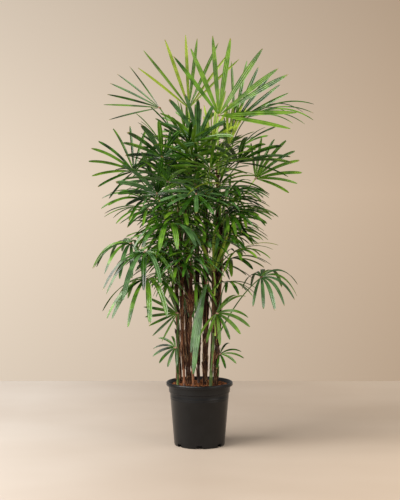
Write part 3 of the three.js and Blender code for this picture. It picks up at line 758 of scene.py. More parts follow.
class Clump:
    """The canes and their fronds, grown one after another by one rule."""

    def __init__(self) -> None:
        """Grows the whole clump."""
        self.canes = [Cane(row, index) for index, row in enumerate(CANES)]
        self.standing = Standing()
        listed = self._listed()
        fronds = listed + self._whorls(len(listed))
        self._stand_canes()
        for frond in listed:
            self._stand_hub(frond)
        for frond in fronds:
            self._find_petiole(frond)
        self.fronds = [frond for frond in fronds if frond.handles]
        for frond in self.fronds:
            self._grow_leaflets(frond)
        self._fill_crown(len(fronds))

    def _fill_crown(self, first: int) -> None:
        """Fills the crown with smaller fronds wherever one finds room.

        Args:
            first: number of the fronds before them.
        """
        for k, (cane, x, y, z, azimuth, tilt, blade, leaflets, tone) in enumerate(SIDE_FANS):
            habit = HABITS[Age.YOUNG]
            self._add_inner(Frond(
                "inner", first + INNER.tries + k, azimuth, tilt, 0, blade, leaflets, Age.YOUNG,
                habit.spread, habit.width, tone, np.array([x, y, z], float), Origin.INNER, cane))
        rng = Seeded(Seed.INNER)
        for k in range(INNER.tries):
            cane = self.canes[k % len(self.canes)]
            height = cane.tip[2] + rng.between(*INNER.over_tip)
            azimuth, reach = rng.between(0, 360), rng.between(*INNER.reach)
            blade, leaflets = rng.between(*INNER.blade), rng.pick(INNER.leaflets)
            tilt, roll = rng.spread(INNER.tilt_vary), rng.spread(INNER.roll_vary)
            hub = cane.at(min(height, cane.tip[2])) + heading(azimuth) * reach
            hub[2] = height
            outer = hypot(hub[0], hub[1]) + blade * INNER.blade_share
            right = hub[0] + cos(radians(azimuth)) * blade
            if not INNER.hub[0] < height < INNER.hub[1] or outer > along(CROWN, height):
                continue
            if right > along(RIGHT_EDGE, height):
                continue
            if self._in_gap(hub + heading(azimuth) * blade / 2):
                continue
            age = age_at(height)
            tones = SUNLIT_TONES if hub[0] > SUNLIT_HUB else INNER_TONES
            self._add_inner(Frond(
                "inner", first + k, azimuth, tilt_at(height) + tilt, roll, blade, leaflets, age,
                HABITS[age].spread, INNER.widths[k % len(INNER.widths)], tones[k % len(tones)],
                hub, Origin.INNER, cane.index))

    def _add_inner(self, frond: Frond) -> None:
        """Adds a frond to the crown's inside if it finds room there.

        Args:
            frond: the frond, with its hub at its place.
        """
        if not self._hub_free(frond) or not self._grow_petiole(frond):
            return
        self._grow_leaflets(frond)
        if len(frond.grown) < INNER.least_leaflets:
            return
        self._stand_hub(frond)
        self._stand_petiole(frond)
        self.fronds.append(frond)

    @staticmethod
    def _in_gap(spot: Array) -> bool:
        """Whether a spot is where the crown is open in front of the young stalks."""
        return any(left < spot[0] < right and low < spot[2] < high and spot[1] < back
                   for left, right, low, high, back in CROWN_GAPS)

    def _listed(self) -> list[Frond]:
        """Reads the fronds that give the crown its outline and its front.

        Returns:
            The fronds, in the table's order.
        """
        return [
            Frond(f"frond_{name}", i, az, tilt, roll, blade, count, age,
                  spread or HABITS[age].spread, width or HABITS[age].width, tone,
                  np.array([x, y, z], float))
            for i, (name, x, y, z, az, tilt, roll, blade, count, age, spread, width, tone)
            in enumerate(FRONDS)
        ]

    def _whorls(self, first: int) -> list[Frond]:
        """Plans the fronds of the whorls, which fan out from each cane's tip as it leans.

        Args:
            first: number of the fronds before them.

        Returns:
            The fronds, not yet turned to their places.
        """
        found: list[Frond] = []
        for cane in self.canes:
            rng = Seeded(Seed.WHORL + cane.index)
            home = degrees(atan2(cane.tip[1], cane.tip[0]))
            high = cane.tip[2] > WHORL.high_cane
            lowest, highest, vary = WHORL.lift_high if high else WHORL.lift
            count = cane.whorl
            for i in range(count):
                place = (2 * i - (count - 1)) / (count - 1) if count > 1 else 0
                order = ((2 if count % 2 else 3) * i) % count
                azimuth = home + place * WHORL.fan + rng.spread(WHORL.azimuth_vary)
                lift = lowest + (highest - lowest) * (order + 0.5) / count + rng.spread(vary)
                height = cane.tip[2] + lift
                blade = WHORL.blade + rng.spread(WHORL.blade_vary)
                blade += WHORL.blade_high if height > WHORL.high_hub else 0
                blade *= WHORL.low_share if cane.tip[2] < WHORL.short_cane else 1
                room = along(CROWN, height) - blade - WHORL.margin
                wanted = WHORL.reach + rng.spread(WHORL.reach_vary)
                reach = max(WHORL.least_reach, min(wanted, room))
                tilt = tilt_at(height) + WHORL.tilt_order * order / count
                age = age_at(height)
                index = first + len(found)
                sunlit = cos(radians(azimuth)) > SUNLIT_COSINE
                tones = SUNLIT_TONES if sunlit else WHORL_TONES
                found.append(Frond(
                    cane.whorl_name, index, azimuth, tilt + rng.spread(WHORL.tilt_vary),
                    rng.spread(WHORL.roll_vary), blade, WHORL.leaflets, age, HABITS[age].spread,
                    WHORL.widths[i % len(WHORL.widths)], tones[index % len(tones)], cane.tip,
                    Origin.WHORL, cane.index, azimuth, reach, lift))
        return found

    def _stand_canes(self) -> None:
        """Stands the canes, and the sheath and the spear on each tip."""
        for cane in self.canes:
            room = cane.radius + ROOM.cane
            heights = np.linspace(cane.foot[2], cane.tip[2], CANE_STRAIGHT_PIECES + 1)
            for low, high in zip(heights, heights[1:]):
                half = room - ROOM.margin
                self.standing.add(cane.at(low), cane.at(high), RIGHT, half, half, room, -1,
                                  cane.name)
            thick = cane.radius * CANE_FLARE[-1][1] + ROOM.sheath
            self.standing.add(cane.tip, cane.tip + UP * WHORL.spear, RIGHT, thick, ROOM.sheath,
                              thick, -1, cane.whorl_name)

    def _stand_hub(self, frond: Frond) -> None:
        """Stands the web round a frond's hub.

        Args:
            frond: the frond.
        """
        room = ROOM.hub * ROOM.hub_share
        a, b = (frond.hub + UP * h for h in (-ROOM.hub_half, ROOM.hub_half))
        self.standing.add(a, b, RIGHT, room, room, room + ROOM.margin, frond.index, frond.node)

    @staticmethod
    def _wanted(frond: Frond, cane: Cane) -> Pair:
        """Tells where a frond would leave a cane.

        Args:
            frond: the frond.
            cane: the cane.

        Returns:
            How far the frond's hub is from the cane, and the height at which it should leave.
        """
        base = cane.at(min(frond.hub[2], cane.tip[2]))
        reach = hypot(frond.hub[0] - base[0], frond.hub[1] - base[1])
        return reach, frond.hub[2] - (CHOICE.rise * reach + CHOICE.foot)

    def _choose_cane(self, frond: Frond) -> tuple[Cane, float]:
        """Chooses the cane that a listed frond springs from.

        Args:
            frond: the frond.

        Returns:
            The cane, and the height at which the frond leaves it.
        """
        best: tuple[float, Cane, float] | None = None
        for cane in self.canes:
            reach, wanted = self._wanted(frond, cane)
            height = min(wanted, cane.tip[2] - CHOICE.tip)
            short = max(0, wanted - height)
            low = max(0, cane.tip[2] - height - CHOICE.stem)
            score = reach + CHOICE.short * short + CHOICE.low * low
            score += CHOICE.carried * cane.carried
            if best is None or score < best[0]:
                best = (score, cane, max(height, SOIL_TOP + CHOICE.soil_gap))
        return best[1], best[2]

    def _find_petiole(self, frond: Frond) -> None:
        """Finds a frond's petiole, turning a whorl's frond until it has one.

        Args:
            frond: the frond, which is left without handles where nothing is free.
        """
        in_whorl = frond.origin is Origin.WHORL
        for turn in WHORL_TURNS if in_whorl else (0,):
            if in_whorl:
                frond.turn_to(turn, self.canes[frond.cane].tip)
                if not self._hub_free(frond):
                    continue
            if self._grow_petiole(frond):
                break
        if in_whorl and frond.handles:
            self._stand_hub(frond)
        if frond.handles:
            self._stand_petiole(frond)

    def _stand_petiole(self, frond: Frond) -> None:
        """Stands a frond's petiole.

        Args:
            frond: the frond.
        """
        half = ROOM.petiole - ROOM.margin
        side = np.array(ROOM.petiole_side)
        points = frond.petiole_points(PETIOLE.segments)
        for a, b in zip(points, points[1:]):
            self.standing.add(a, b, side, half, half, ROOM.petiole, frond.index, frond.node)

    def _start_of(self, frond: Frond) -> tuple[Cane, float]:
        """Finds where a frond springs from, by its origin.

        Args:
            frond: the frond.

        Returns:
            Its cane, and the height at which it leaves it, or 0 for a whorl's frond.
        """
        if frond.origin is Origin.WHORL:
            return self.canes[frond.cane], 0.0
        if frond.origin is Origin.LISTED:
            cane, height = self._choose_cane(frond)
            cane.carried += 1
            return cane, height
        cane = self.canes[frond.cane]
        height = min(self._wanted(frond, cane)[1], cane.tip[2] - CHOICE.tip)
        return cane, max(height, SOIL_TOP + CHOICE.soil_gap)

    def _grow_petiole(self, frond: Frond) -> bool:
        """Tries the ways a petiole may run, and keeps the first free one in frond.handles.

        Args:
            frond: the frond, with its hub at its place.

        Returns:
            True if one is free.
        """
        in_whorl = frond.origin is Origin.WHORL
        cane, from_height = self._start_of(frond)
        for drop in SHEATH_STARTS if in_whorl else DROPS:
            for step in SIDE_STEPS:
                height = min(from_height + drop, cane.tip[2] - PETIOLE.top_gap)
                if not in_whorl and height < SOIL_TOP + PETIOLE.soil_gap:
                    continue
                middle = cane.tip + UP * drop if in_whorl else cane.at(height)
                out = (frond.hub - middle) * LEVEL
                out = unit(out) if np.linalg.norm(out) > 1 else heading(frond.azimuth)
                across = np.array([-out[1], out[0], 0.0])
                away = unit(out + across * (step / SIDE_TURN))
                start = middle if in_whorl else middle + away * (cane.radius + PETIOLE.clearance)
                leave = unit(UP + away * (PETIOLE.lean_in_whorl if in_whorl else PETIOLE.lean))
                reach = frond.hub - start
                span = float(np.linalg.norm(reach))
                arrive = unit(frond.axes()[0] * PETIOLE.along_blade + reach / span)
                frond.handles = (
                    start,
                    start + leave * (span * PETIOLE.out_handle),
                    frond.hub - arrive * (span * PETIOLE.in_handle) + across * (step * SIDE_PULL),
                    frond.hub,
                )
                if self._petiole_free(frond, cane.name):
                    return True
        frond.handles = ()
        return False

    def _petiole_free(self, frond: Frond, own_cane: str) -> bool:
        """Tests a petiole, whose first stretch may stand close to its own cane.

        Args:
            frond: the frond.
            own_cane: name of the cane that it springs from.

        Returns:
            True if it is free.
        """
        points = frond.petiole_points(PETIOLE.segments)
        line = []
        for a, b in zip(points, points[1:]):
            count = max(1, floor(float(np.linalg.norm(b - a)) / ROOM.petiole_step))
            line += [a + (b - a) * (k / count) for k in range(count)]
        rows = np.array(line[1:])
        is_near = np.linalg.norm(rows - points[0], axis=1) <= PETIOLE.start
        near, far = rows[is_near], rows[~is_near]
        skipped = () if frond.origin is Origin.INNER else (frond.node,)
        slack = frond.slack()
        if len(near) and self.standing.blocks(near, frond.index, (own_cane, *skipped), slack):
            return False
        return not len(far) or not self.standing.blocks(far, frond.index, skipped, slack)

    def _hub_free(self, frond: Frond) -> bool:
        """Tests the web round a frond's hub.

        Args:
            frond: the frond.

        Returns:
            True if it has room.
        """
        axis, _, side = frond.axes()
        angles = 2 * np.pi * np.arange(ROOM.hub_points) / ROOM.hub_points
        web = np.outer(np.cos(angles), axis) + np.outer(np.sin(angles), side)
        ring = frond.hub + ROOM.hub * web
        points = np.vstack([ring, frond.hub])
        return not self.standing.blocks(points, frond.index, (), frond.slack())

    def _grow_leaflets(self, frond: Frond) -> None:
        """Grows a frond's leaflets one by one, and stands those that found room.

        Args:
            frond: the frond, which keeps them in frond.grown.
        """
        habit = HABITS[frond.age]
        axis, normal, side = frond.axes()
        rng = Seeded(Seed.FROND + frond.index)
        places = PLACES.get(frond.node, np.linspace(-1, 1, frond.leaflets))
        for j, u in enumerate(places):
            gap = frond.spread / 2 * min(abs(u - v) for v in places if v != u)
            yaw_vary = min(LEAFLET.yaw_vary, LEAFLET.yaw_share * gap)
            angle = u * frond.spread / 2 + rng.spread(yaw_vary)
            length = frond.blade * (1 - habit.falloff * u * u)
            length = length * (1 + rng.spread(LEAFLET.length_vary))
            droop = habit.droop * (1 + rng.spread(LEAFLET.droop_vary))
            twist = rng.spread(LEAFLET.twist_vary)
            size = LEAFLET.width_base + (1 - LEAFLET.width_base) * frond.blade / LEAFLET.full_blade
            narrowing = 1 - LEAFLET.narrowing * u * u
            width = frond.width * size * narrowing * (1 + rng.spread(LEAFLET.width_vary))
            own_lift = rng.spread(LEAFLET.lift_vary)
            ribs = []
            for yaw, lift in TURNS:
                p, e = radians(angle + yaw), radians(lift + own_lift)
                way = unit(axis * (cos(p) * cos(e)) + side * (sin(p) * cos(e))
                           + normal * (sin(e) + habit.cup))
                ribs.append(Midrib.curve(frond.hub, way, normal, length, droop, width, twist,
                                         radians(gap)))
            found = self._first_free(frond, ribs, habit.segments)
            if found:
                rib, last = found
                seed = Seed.LEAFLET + Seed.LEAFLETS_PER_FROND * frond.index + j
                frond.grown.append(Leaflet(rib, last, length, width, radians(gap), seed))
        for leaflet in frond.grown:
            steps = self._steps(leaflet.last, habit.segments)
            rib = leaflet.rib
            for i, j in zip(steps, steps[1:]):
                self.standing.add(rib.points[i], rib.points[j], rib.sides[i] + rib.sides[j],
                                  rib.halves[i], rib.halves[j], ROOM.blade, frond.index, frond.node)

    @staticmethod
    def _steps(last: int, segments: int) -> list[int]:
        """The fine steps between which a leaflet is tried as straight pieces."""
        root = LEAFLET.root_step
        return [root + (last - root) * k // segments for k in range(segments + 1)]

    def _first_free(self, frond: Frond, ribs: list[Midrib],
                    segments: int) -> tuple[Midrib, int] | None:
        """Finds the first of some midribs that is free, whole or cut shorter.

        Args:
            frond: the frond whose leaflet it is.
            ribs: the midribs.
            segments: number of straight pieces that they are tested as.

        Returns:
            The midrib and its last fine step, or None.
        """
        slack = frond.slack()
        for share in LENGTHS:
            last = floor(LEAFLET.fine_steps * share + 0.5)
            steps = [LEAFLET.root_step - 1, *self._steps(last, segments)]
            for rib in ribs:
                if not self.standing.blocks(rib.blade_points(steps), frond.index, (), slack):
                    return rib, last
        return None


# ---- meshes


BLADE_MAP = "along_the_blade"  # a leaflet's own map: across it and along it


@dataclass
class MeshBin:
    """Points and faces gathered for one joined piece."""

    name: str
    points: list[Array] = field(default_factory=list)
    faces: list[tuple[int, ...]] = field(default_factory=list)
    maps: list[Array] = field(default_factory=list)
    count: int = 0

    def add(self, points: Array, faces: Iterable[Sequence[int]],
            spots: Array | None = None) -> None:
        """Adds a closed shape.

        Args:
            points: its points.
            faces: its faces, counted from its own first point.
            spots: each point's place on the surface map, as rows of two.
        """
        self.points.append(np.asarray(points, float))
        if spots is not None:
            self.maps.append(spots)
        first = self.count
        self.faces += [tuple(first + i for i in face) for face in faces]
        self.count += len(points)

    def build(self, angle: float) -> Object:
        """Makes the object, in metres, smooth where its faces meet flatter than an angle.

        Args:
            angle: the angle in degrees.

        Returns:
            The object at the origin.
        """
        mesh = bpy.data.meshes.new(self.name)
        mesh.from_pydata((np.vstack(self.points) * MM).tolist(), [], self.faces)
        mesh.validate()
        if self.maps:
            corners = np.empty(len(mesh.loops), np.int32)
            mesh.loops.foreach_get("vertex_index", corners)
            layer = mesh.uv_layers.new(name=BLADE_MAP)
            layer.data.foreach_set("uv", np.vstack(self.maps)[corners].astype(np.float32).ravel())
        piece = bpy.data.objects.new(self.name, mesh)
        bpy.context.scene.collection.objects.link(piece)
        smooth_shade(piece, angle)
        return piece


def only(piece: Object) -> None:
    """Selects one object and makes it the active one.

    Args:
        piece: the object.
    """
    bpy.ops.object.select_all(action="DESELECT")
    piece.select_set(True)
    bpy.context.view_layer.objects.active = piece


def smooth_shade(piece: Object, angle: float) -> None:
    """Shades a piece smooth where its faces meet flatter than an angle in degrees."""
    only(piece)
    bpy.ops.object.shade_smooth_by_angle(angle=radians(angle))


def tube_faces(rings: int, sides: int) -> list[tuple[int, ...]]:
    """Lists the faces of a closed tube whose points come ring by ring.

    Args:
        rings: number of its rings.
        sides: number of points in each.

    Returns:
        The faces, with the two ends last.
    """
    faces: list[tuple[int, ...]] = []
    for i in range(rings - 1):
        for k in range(sides):
            n = (k + 1) % sides
            faces.append((i * sides + k, i * sides + n, (i + 1) * sides + n, (i + 1) * sides + k))
    faces.append(tuple(reversed(range(sides))))
    faces.append(tuple(range((rings - 1) * sides, rings * sides)))
    return faces


def tube(points: Sequence[Array], radii: Sequence[float], sides: int, flatten: float = 1.0,
         flat_way: Array = SKEW) -> tuple[Array, list[tuple[int, ...]]]:
    """Makes a closed tube along a line of points.

    Args:
        points: the line.
        radii: the radius at each point.
        sides: sides of the section.
        flatten: the section's thickness along flat_way, as a share of its width.
        flat_way: the way in which the section is flattened.

    Returns:
        Its points and faces.
    """
    line = np.array(points)
    ways = unit(np.gradient(line, axis=0))
    rows = []
    x = np.cross(ways[0], flat_way)
    angles = 2 * np.pi * np.arange(sides) / sides
    for p, way, radius in zip(line, ways, radii):
        x = unit(x - way * x.dot(way))
        y = np.cross(way, x)
        ring = np.outer(np.cos(angles), x) + flatten * np.outer(np.sin(angles), y)
        rows.append(p + radius * ring)
    return np.vstack(rows), tube_faces(len(line), sides)


# ---- materials


def linear(hex_colour: str) -> tuple[float, float, float, float]:
    """Turns an sRGB hex value into a linear colour.

    Args:
        hex_colour: the value, as #RRGGBB.

    Returns:
        Red, green, blue and an alpha of 1.
    """
    values = [int(hex_colour[i:i + 2], 16) / 255 for i in (1, 3, 5)]
    curve = [v / 12.92 if v <= 0.04045 else ((v + 0.055) / 1.055) ** 2.4 for v in values]
    return (*curve, 1.0)


def add_node(tree: NodeTree, kind: str, settings: dict, links: dict) -> Node:
    """Adds a node.

    Args:
        tree: the tree that it goes into.
        kind: its type name without the ShaderNode in front.
        settings: its properties, and its inputs by name or number. Stops are a ramp's places
            and hex colours, first, last and then what lies between them.
        links: the output sockets that its inputs take, by name or number.

    Returns:
        The node.
    """
    node = tree.nodes.new(f"ShaderNode{kind}")
    for name, value in settings.items():
        if name == "stops":
            elements = node.color_ramp.elements
            for k, (place, hex_colour) in enumerate(value):
                stop = elements[k] if k < 2 else elements.new(place)
                stop.position, stop.color = place, linear(hex_colour)
        elif isinstance(name, str) and name in node.bl_rna.properties:
            setattr(node, name, value)
        else:
            node.inputs[name].default_value = value
    for name, socket in links.items():
        tree.links.new(socket, node.inputs[name])
    return node


def new_material(name: str) -> Material:
    """Makes an empty node material.

    Args:
        name: its name.

    Returns:
        The material.
    """
    material = bpy.data.materials.new(name)
    material.use_nodes = True
    material.node_tree.nodes.clear()
    return material


EVEN = (1, 1, 1)  # a pattern as fine along X, Y and Z
RELIEF_DETAIL = 3.0
ORGANIC_IOR = 1.45  # of wax, dry fibre and polypropylene alike


def cloud(tree: NodeTree, size: float, detail: float,
          stretch: tuple) -> NodeSocket:
    """Adds noise on a piece's own coordinates.

    Args:
        tree: the material's tree.
        size: size of its patches.
        detail: detail of the noise.
        stretch: how much finer the patches are along X, Y and Z.

    Returns:
        The noise's socket.
    """
    place = add_node(tree, "TexCoord", {}, {})
    mapped = add_node(tree, "Mapping", {"Scale": stretch}, {"Vector": place.outputs["Object"]})
    grain = add_node(tree, "TexNoise", {"Scale": 1 / (size * MM), "Detail": detail},
                     {"Vector": mapped.outputs["Vector"]})
    return grain.outputs["Fac"]


def mottle(tree: NodeTree, size: float, detail: float, dark: str, light: str,
           low: float, high: float, stretch: tuple = EVEN) -> NodeSocket:
    """Adds a colour that wanders between two, in patches of a size.

    Args:
        tree: the material's tree.
        size: size of the patches.
        detail: detail of the noise.
        dark: one colour as a hex value.
        light: the other.
        low: the noise that is all dark.
        high: the noise that is all light.
        stretch: how much finer the patches are along X, Y and Z.

    Returns:
        The colour's socket.
    """
    noisy = cloud(tree, size, detail, stretch)
    ramp = add_node(tree, "ValToRGB", {"stops": ((low, dark), (high, light))}, {"Fac": noisy})
    return ramp.outputs["Color"]


def relief(tree: NodeTree, size: float, depth: float,
           stretch: tuple) -> NodeSocket:
    """Adds a bump of noise.

    Args:
        tree: the material's tree.
        size: size of the bumps.
        depth: their depth.
        stretch: how much finer they are along X, Y and Z.

    Returns:
        The normal's socket.
    """
    bump = add_node(tree, "Bump", {"Distance": depth * MM, "Strength": 1.0},
                    {"Height": cloud(tree, size, RELIEF_DETAIL, stretch)})
    return bump.outputs["Normal"]


@dataclass(frozen=True)
class LeafFinish:
    """Living palm leaf: a waxy skin with a soft gloss, and some light comes through.

    The first two colours are the ends of the green that wanders from leaflet to leaflet, and the
    third is that of the light that comes through. Sizes are in millimetres, and places on a blade
    are shares of its length.
    """

    name: str
    shade: str
    body: str
    through: str
    roughness: float
    translucency: float
    coat: float
    coat_roughness: float = 0.22
    patch: float = 50
    patch_detail: float = 2.0
    patch_range: Pair = (0.38, 0.6)
    # The darker lines along the blade are partly ribs and partly painted shade of the pleats.
    ribs: float = 4.0
    rib_and_pleat_shade_from: float = 0.2
    rib_and_pleat_shade_depth: float = 0.42
    rib_and_pleat_shade_colour: str = "#5F7038"
    tip_range: Pair = (0.955, 0.99)
    tip_dryness: float = 0.85
    tip_colour: str = "#A08A4E"
    tip_patch: float = 70
    tip_patch_range: Pair = (0.5, 0.56)
    grain: float = 3.0
    grain_depth: float = 0.12
    grain_stretch: Triple = (1, 1, 0.35)

    def make(self) -> Material:
        """Makes the material.

        Returns:
            The material.
        """
        material = new_material(self.name)
        tree = material.node_tree
        # Leaf green that wanders a little from leaflet to leaflet.
        colour = mottle(tree, self.patch, self.patch_detail, self.shade, self.body,
                        *self.patch_range)
        # Parallel ribs and painted shade: darker lines that run along each blade, side by side,
        # partly the ribs and partly painted shade of the pleats.
        place = add_node(tree, "UVMap", {"uv_map": BLADE_MAP}, {})
        parts = add_node(tree, "SeparateXYZ", {}, {"Vector": place.outputs["UV"]})
        wave = add_node(tree, "Math", {"operation": "MULTIPLY", 1: self.ribs * 2 * pi},
                        {0: parts.outputs["X"]})
        wave = add_node(tree, "Math", {"operation": "SINE"}, {0: wave.outputs[0]})
        line = add_node(tree, "MapRange", {
            "From Min": self.rib_and_pleat_shade_from, "From Max": 1.0, "To Max": self.rib_and_pleat_shade_depth,
        }, {"Value": wave.outputs[0]})
        colour = add_node(tree, "MixRGB", {
            "blend_type": "MULTIPLY", "Color2": linear(self.rib_and_pleat_shade_colour),
        }, {"Fac": line.outputs["Result"], "Color1": colour}).outputs["Color"]
        # The blunt toothed tips dry to straw on some of the leaflets.
        tip = add_node(tree, "MapRange", {
            "From Min": self.tip_range[0], "From Max": self.tip_range[1],
            "To Max": self.tip_dryness,
        }, {"Value": parts.outputs["Y"]})
        some = mottle(tree, self.tip_patch, 0.0, "#000000", "#FFFFFF", *self.tip_patch_range)
        dry = add_node(tree, "Math", {"operation": "MULTIPLY"},
                       {0: tip.outputs["Result"], 1: some})
        colour = add_node(tree, "MixRGB", {"Color2": linear(self.tip_colour)},
                          {"Fac": dry.outputs[0], "Color1": colour}).outputs["Color"]
        # The skin's grain gives it an uneven gloss.
        skin = relief(tree, self.grain, self.grain_depth, self.grain_stretch)
        blade = add_node(tree, "BsdfPrincipled", {
            "Roughness": self.roughness, "IOR": ORGANIC_IOR, "Coat Weight": self.coat,
            "Coat Roughness": self.coat_roughness,
        }, {"Base Color": colour, "Normal": skin})
        glow = add_node(tree, "BsdfTranslucent", {"Color": linear(self.through)}, {"Normal": skin})
        both = add_node(tree, "MixShader", {0: self.translucency},
                        {1: blade.outputs[0], 2: glow.outputs[0]})
        add_node(tree, "OutputMaterial", {}, {"Surface": both.outputs[0]})
        return material


@dataclass(frozen=True)
class PlainFinish:
    """A mottled solid skin: bark, fibre, mix or moulded plastic by its numbers.

    Sizes are in millimetres. The stretch is how much finer it all is along X, Y and Z.
    """

    name: str
    dark: str
    light: str
    patch: float
    roughness: float
    bump_size: float
    bump_depth: float
    stretch: Triple = EVEN
    specular: float = 0.5
    detail: float = 4.0
    patch_range: Pair = (0.36, 0.64)

    def make(self) -> Material:
        """Makes the material.

        Returns:
            The material.
        """
        material = new_material(self.name)
        tree = material.node_tree
        colour = mottle(tree, self.patch, self.detail, self.dark, self.light,
                        *self.patch_range, self.stretch)
        bump = relief(tree, self.bump_size, self.bump_depth, self.stretch)
        skin = add_node(tree, "BsdfPrincipled", {
            "Roughness": self.roughness, "IOR": ORGANIC_IOR,
            "Specular IOR Level": self.specular,
        }, {"Base Color": colour, "Normal": bump})
        add_node(tree, "OutputMaterial", {}, {"Surface": skin.outputs[0]})
        return material


# The younger a leaf, the yellower and the more matt it is, and the more light it lets through.
# The greens also paint light and shade: the deep green is painted shade, the old leaf's
# grey-green is partly the leaf's own bluish green and partly a painted sheen, and the paler
# greens are partly painted light.
LEAVES = {
    Tone.LIME: LeafFinish("new_palm_leaf", "#8AA528", "#B6CC48", "#C4D24C", 0.4, 0.34, 0.16),
    Tone.FRESH: LeafFinish("young_palm_leaf", "#4E7617", "#7AA22C", "#94B42E", 0.36, 0.32, 0.24),
    Tone.GREEN: LeafFinish("palm_leaf", "#2A520C", "#6C9A28", "#8CB42A", 0.28, 0.24, 0.45),
    Tone.DEEP: LeafFinish("shaded_palm_leaf", "#122C04", "#3E6E14", "#608C1C", 0.26, 0.18, 0.5),
    Tone.SILVER: LeafFinish("old_palm_leaf", "#335528", "#5C844A", "#6E9438", 0.27, 0.22, 0.42),
}


def dress(piece: Object, material: Material) -> Object:
    """Gives a piece its material and its slot, and puts it on the plant's body.

    Args:
        piece: the piece.
        material: its material.

    Returns:
        The piece.
    """
    piece.data.materials.clear()
    piece.data.materials.append(material)
    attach(piece, BODY)
    return piece


def finished(gathered: MeshBin, angle: float, finish: LeafFinish | PlainFinish,
             nodes: Iterable[str]) -> Object:
    """Builds and dresses a gathered piece that takes the place of nodes.

    Args:
        gathered: its points and faces.
        angle: the angle in degrees under which its faces shade smooth.
        finish: its finish.
        nodes: the nodes that it replaces.

    Returns:
        The piece.
    """
    piece = dress(gathered.build(angle), finish.make())
    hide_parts(*sorted(nodes))
    return piece


# ---- fronds


@dataclass(frozen=True)
class BladeShape:
    """Form of a leaflet's blade: its outlines, pleats and toothed tip.

    The outlines are widths by the share of its length. The sector's are shares of the room
    between its neighbours by the distance from the hub.
    """

    pointed: tuple = ((0, 0.3), (0.12, 0.5), (0.25, 0.76), (0.4, 0.93), (0.55, 1.0), (0.7, 0.95),
                      (0.82, 0.78), (0.92, 0.5), (1, 0.16))
    blunt: tuple = ((0, 0.32), (0.12, 0.56), (0.25, 0.82), (0.4, 0.96), (0.55, 1.0), (0.7, 1.0),
                    (0.82, 0.95), (0.92, 0.8), (1, 0.42))
    sector: tuple = ((0, 1.02), (24, 1.0), (60, 0.8), (110, 0.74))
    widest_gap: float = 1.2
    fold_widths: Pair = (12, 19.5)
    pleats: tuple = ((0, 0.95), (0.3, 0.5), (1, 0.4))
    thickness: float = 0.5
    tooth: float = 3.0
    edge_tooth: float = 0.6
    dip: float = 1.5
    first_step: float = 0.4
    least_stations: int = 6
    steps_per_station: int = 2
    smooth_angle: float = 28

    def folds(self, width: float) -> int:
        """Number of pleats for a width in millimetres."""
        return 1 + sum(width >= least for least in self.fold_widths)


@dataclass(frozen=True)
class StalkShape:
    """Form of the petioles, of the dry crest on each and of the folded young leaves.

    Profiles are radii, or shares of one, by the share of the length. A crest's points are
    their places along the fan's axis and off its plane, and their radii.
    """

    stations: int = 14
    sides: int = 7
    thickness: float = 0.72
    profile: tuple = ((0, PETIOLE.base * 1.5), (0.08, PETIOLE.base * 1.05), (0.8, PETIOLE.tip),
                      (1, PETIOLE.tip * 1.15))
    newest: tuple = ((0, 1), (0.45, 1.4), (0.7, 3.2), (1, 2.6))
    crest: tuple = ((-6, 0, 1.2), (-1, 1.4, 3.8), (4, 1.2, 3.0), (9, 0, 0.6))
    crest_thickness: float = 0.6
    spear_stations: int = 12
    spear_sides: int = 8
    spear_thickness: float = 0.8
    spear_share: float = 0.98
    spear_sway: float = 2.0
    spear_foot: tuple = ((0, 0.7), (0.25, 0.62))
    spear_point: tuple = ((0.55, 3.6), (0.85, 2.4), (1, 0.5))
    smooth_angle: float = 40


# How blunt the leaflets of a frond of each age are, from 0 to 1.
BLUNTNESS = {Age.YOUNG: 0.15, Age.OPEN: 1.0, Age.ARCHING: 0.6, Age.HANGING: 0.55}

# The greens that a few leaflets of a frond have instead of its own: one up to a share of the
# draws, the other from a share on.
NEXT_TONE = {Tone.LIME: FR, Tone.FRESH: GR, Tone.GREEN: DE, Tone.DEEP: GR, Tone.SILVER: GR}
OTHER_TONE = {Tone.LIME: LI, Tone.FRESH: LI, Tone.GREEN: FR, Tone.DEEP: SI, Tone.SILVER: DE}
NEXT_UP_TO = 0.18
OTHER_FROM = 0.88

# Smooth skin with fine lines along it, green to yellow. The crest at the foot of the leaflets
# dries to a pinkish brown.
PETIOLE_FINISH = PlainFinish("palm_petiole", "#35591F", "#557A2E", 30, 0.4, 2.0, 0.08,
                             (1, 1, 0.2))
YOUNG_PETIOLE_FINISH = PlainFinish("young_palm_petiole", "#7C9A33", "#A2BC55", 30, 0.4, 2.0,
                                   0.08, (1, 1, 0.2))
CREST_FINISH = PlainFinish("dry_petiole_crest", "#6E4A34", "#B4907A", 12, 0.7, 1.5, 0.1)


def bins_for(kinds: type[Enum], prefix: str) -> dict[Enum, MeshBin]:
    """An empty piece for each of the named kinds."""
    return {kind: MeshBin(f"{prefix}_{kind.value}") for kind in kinds}


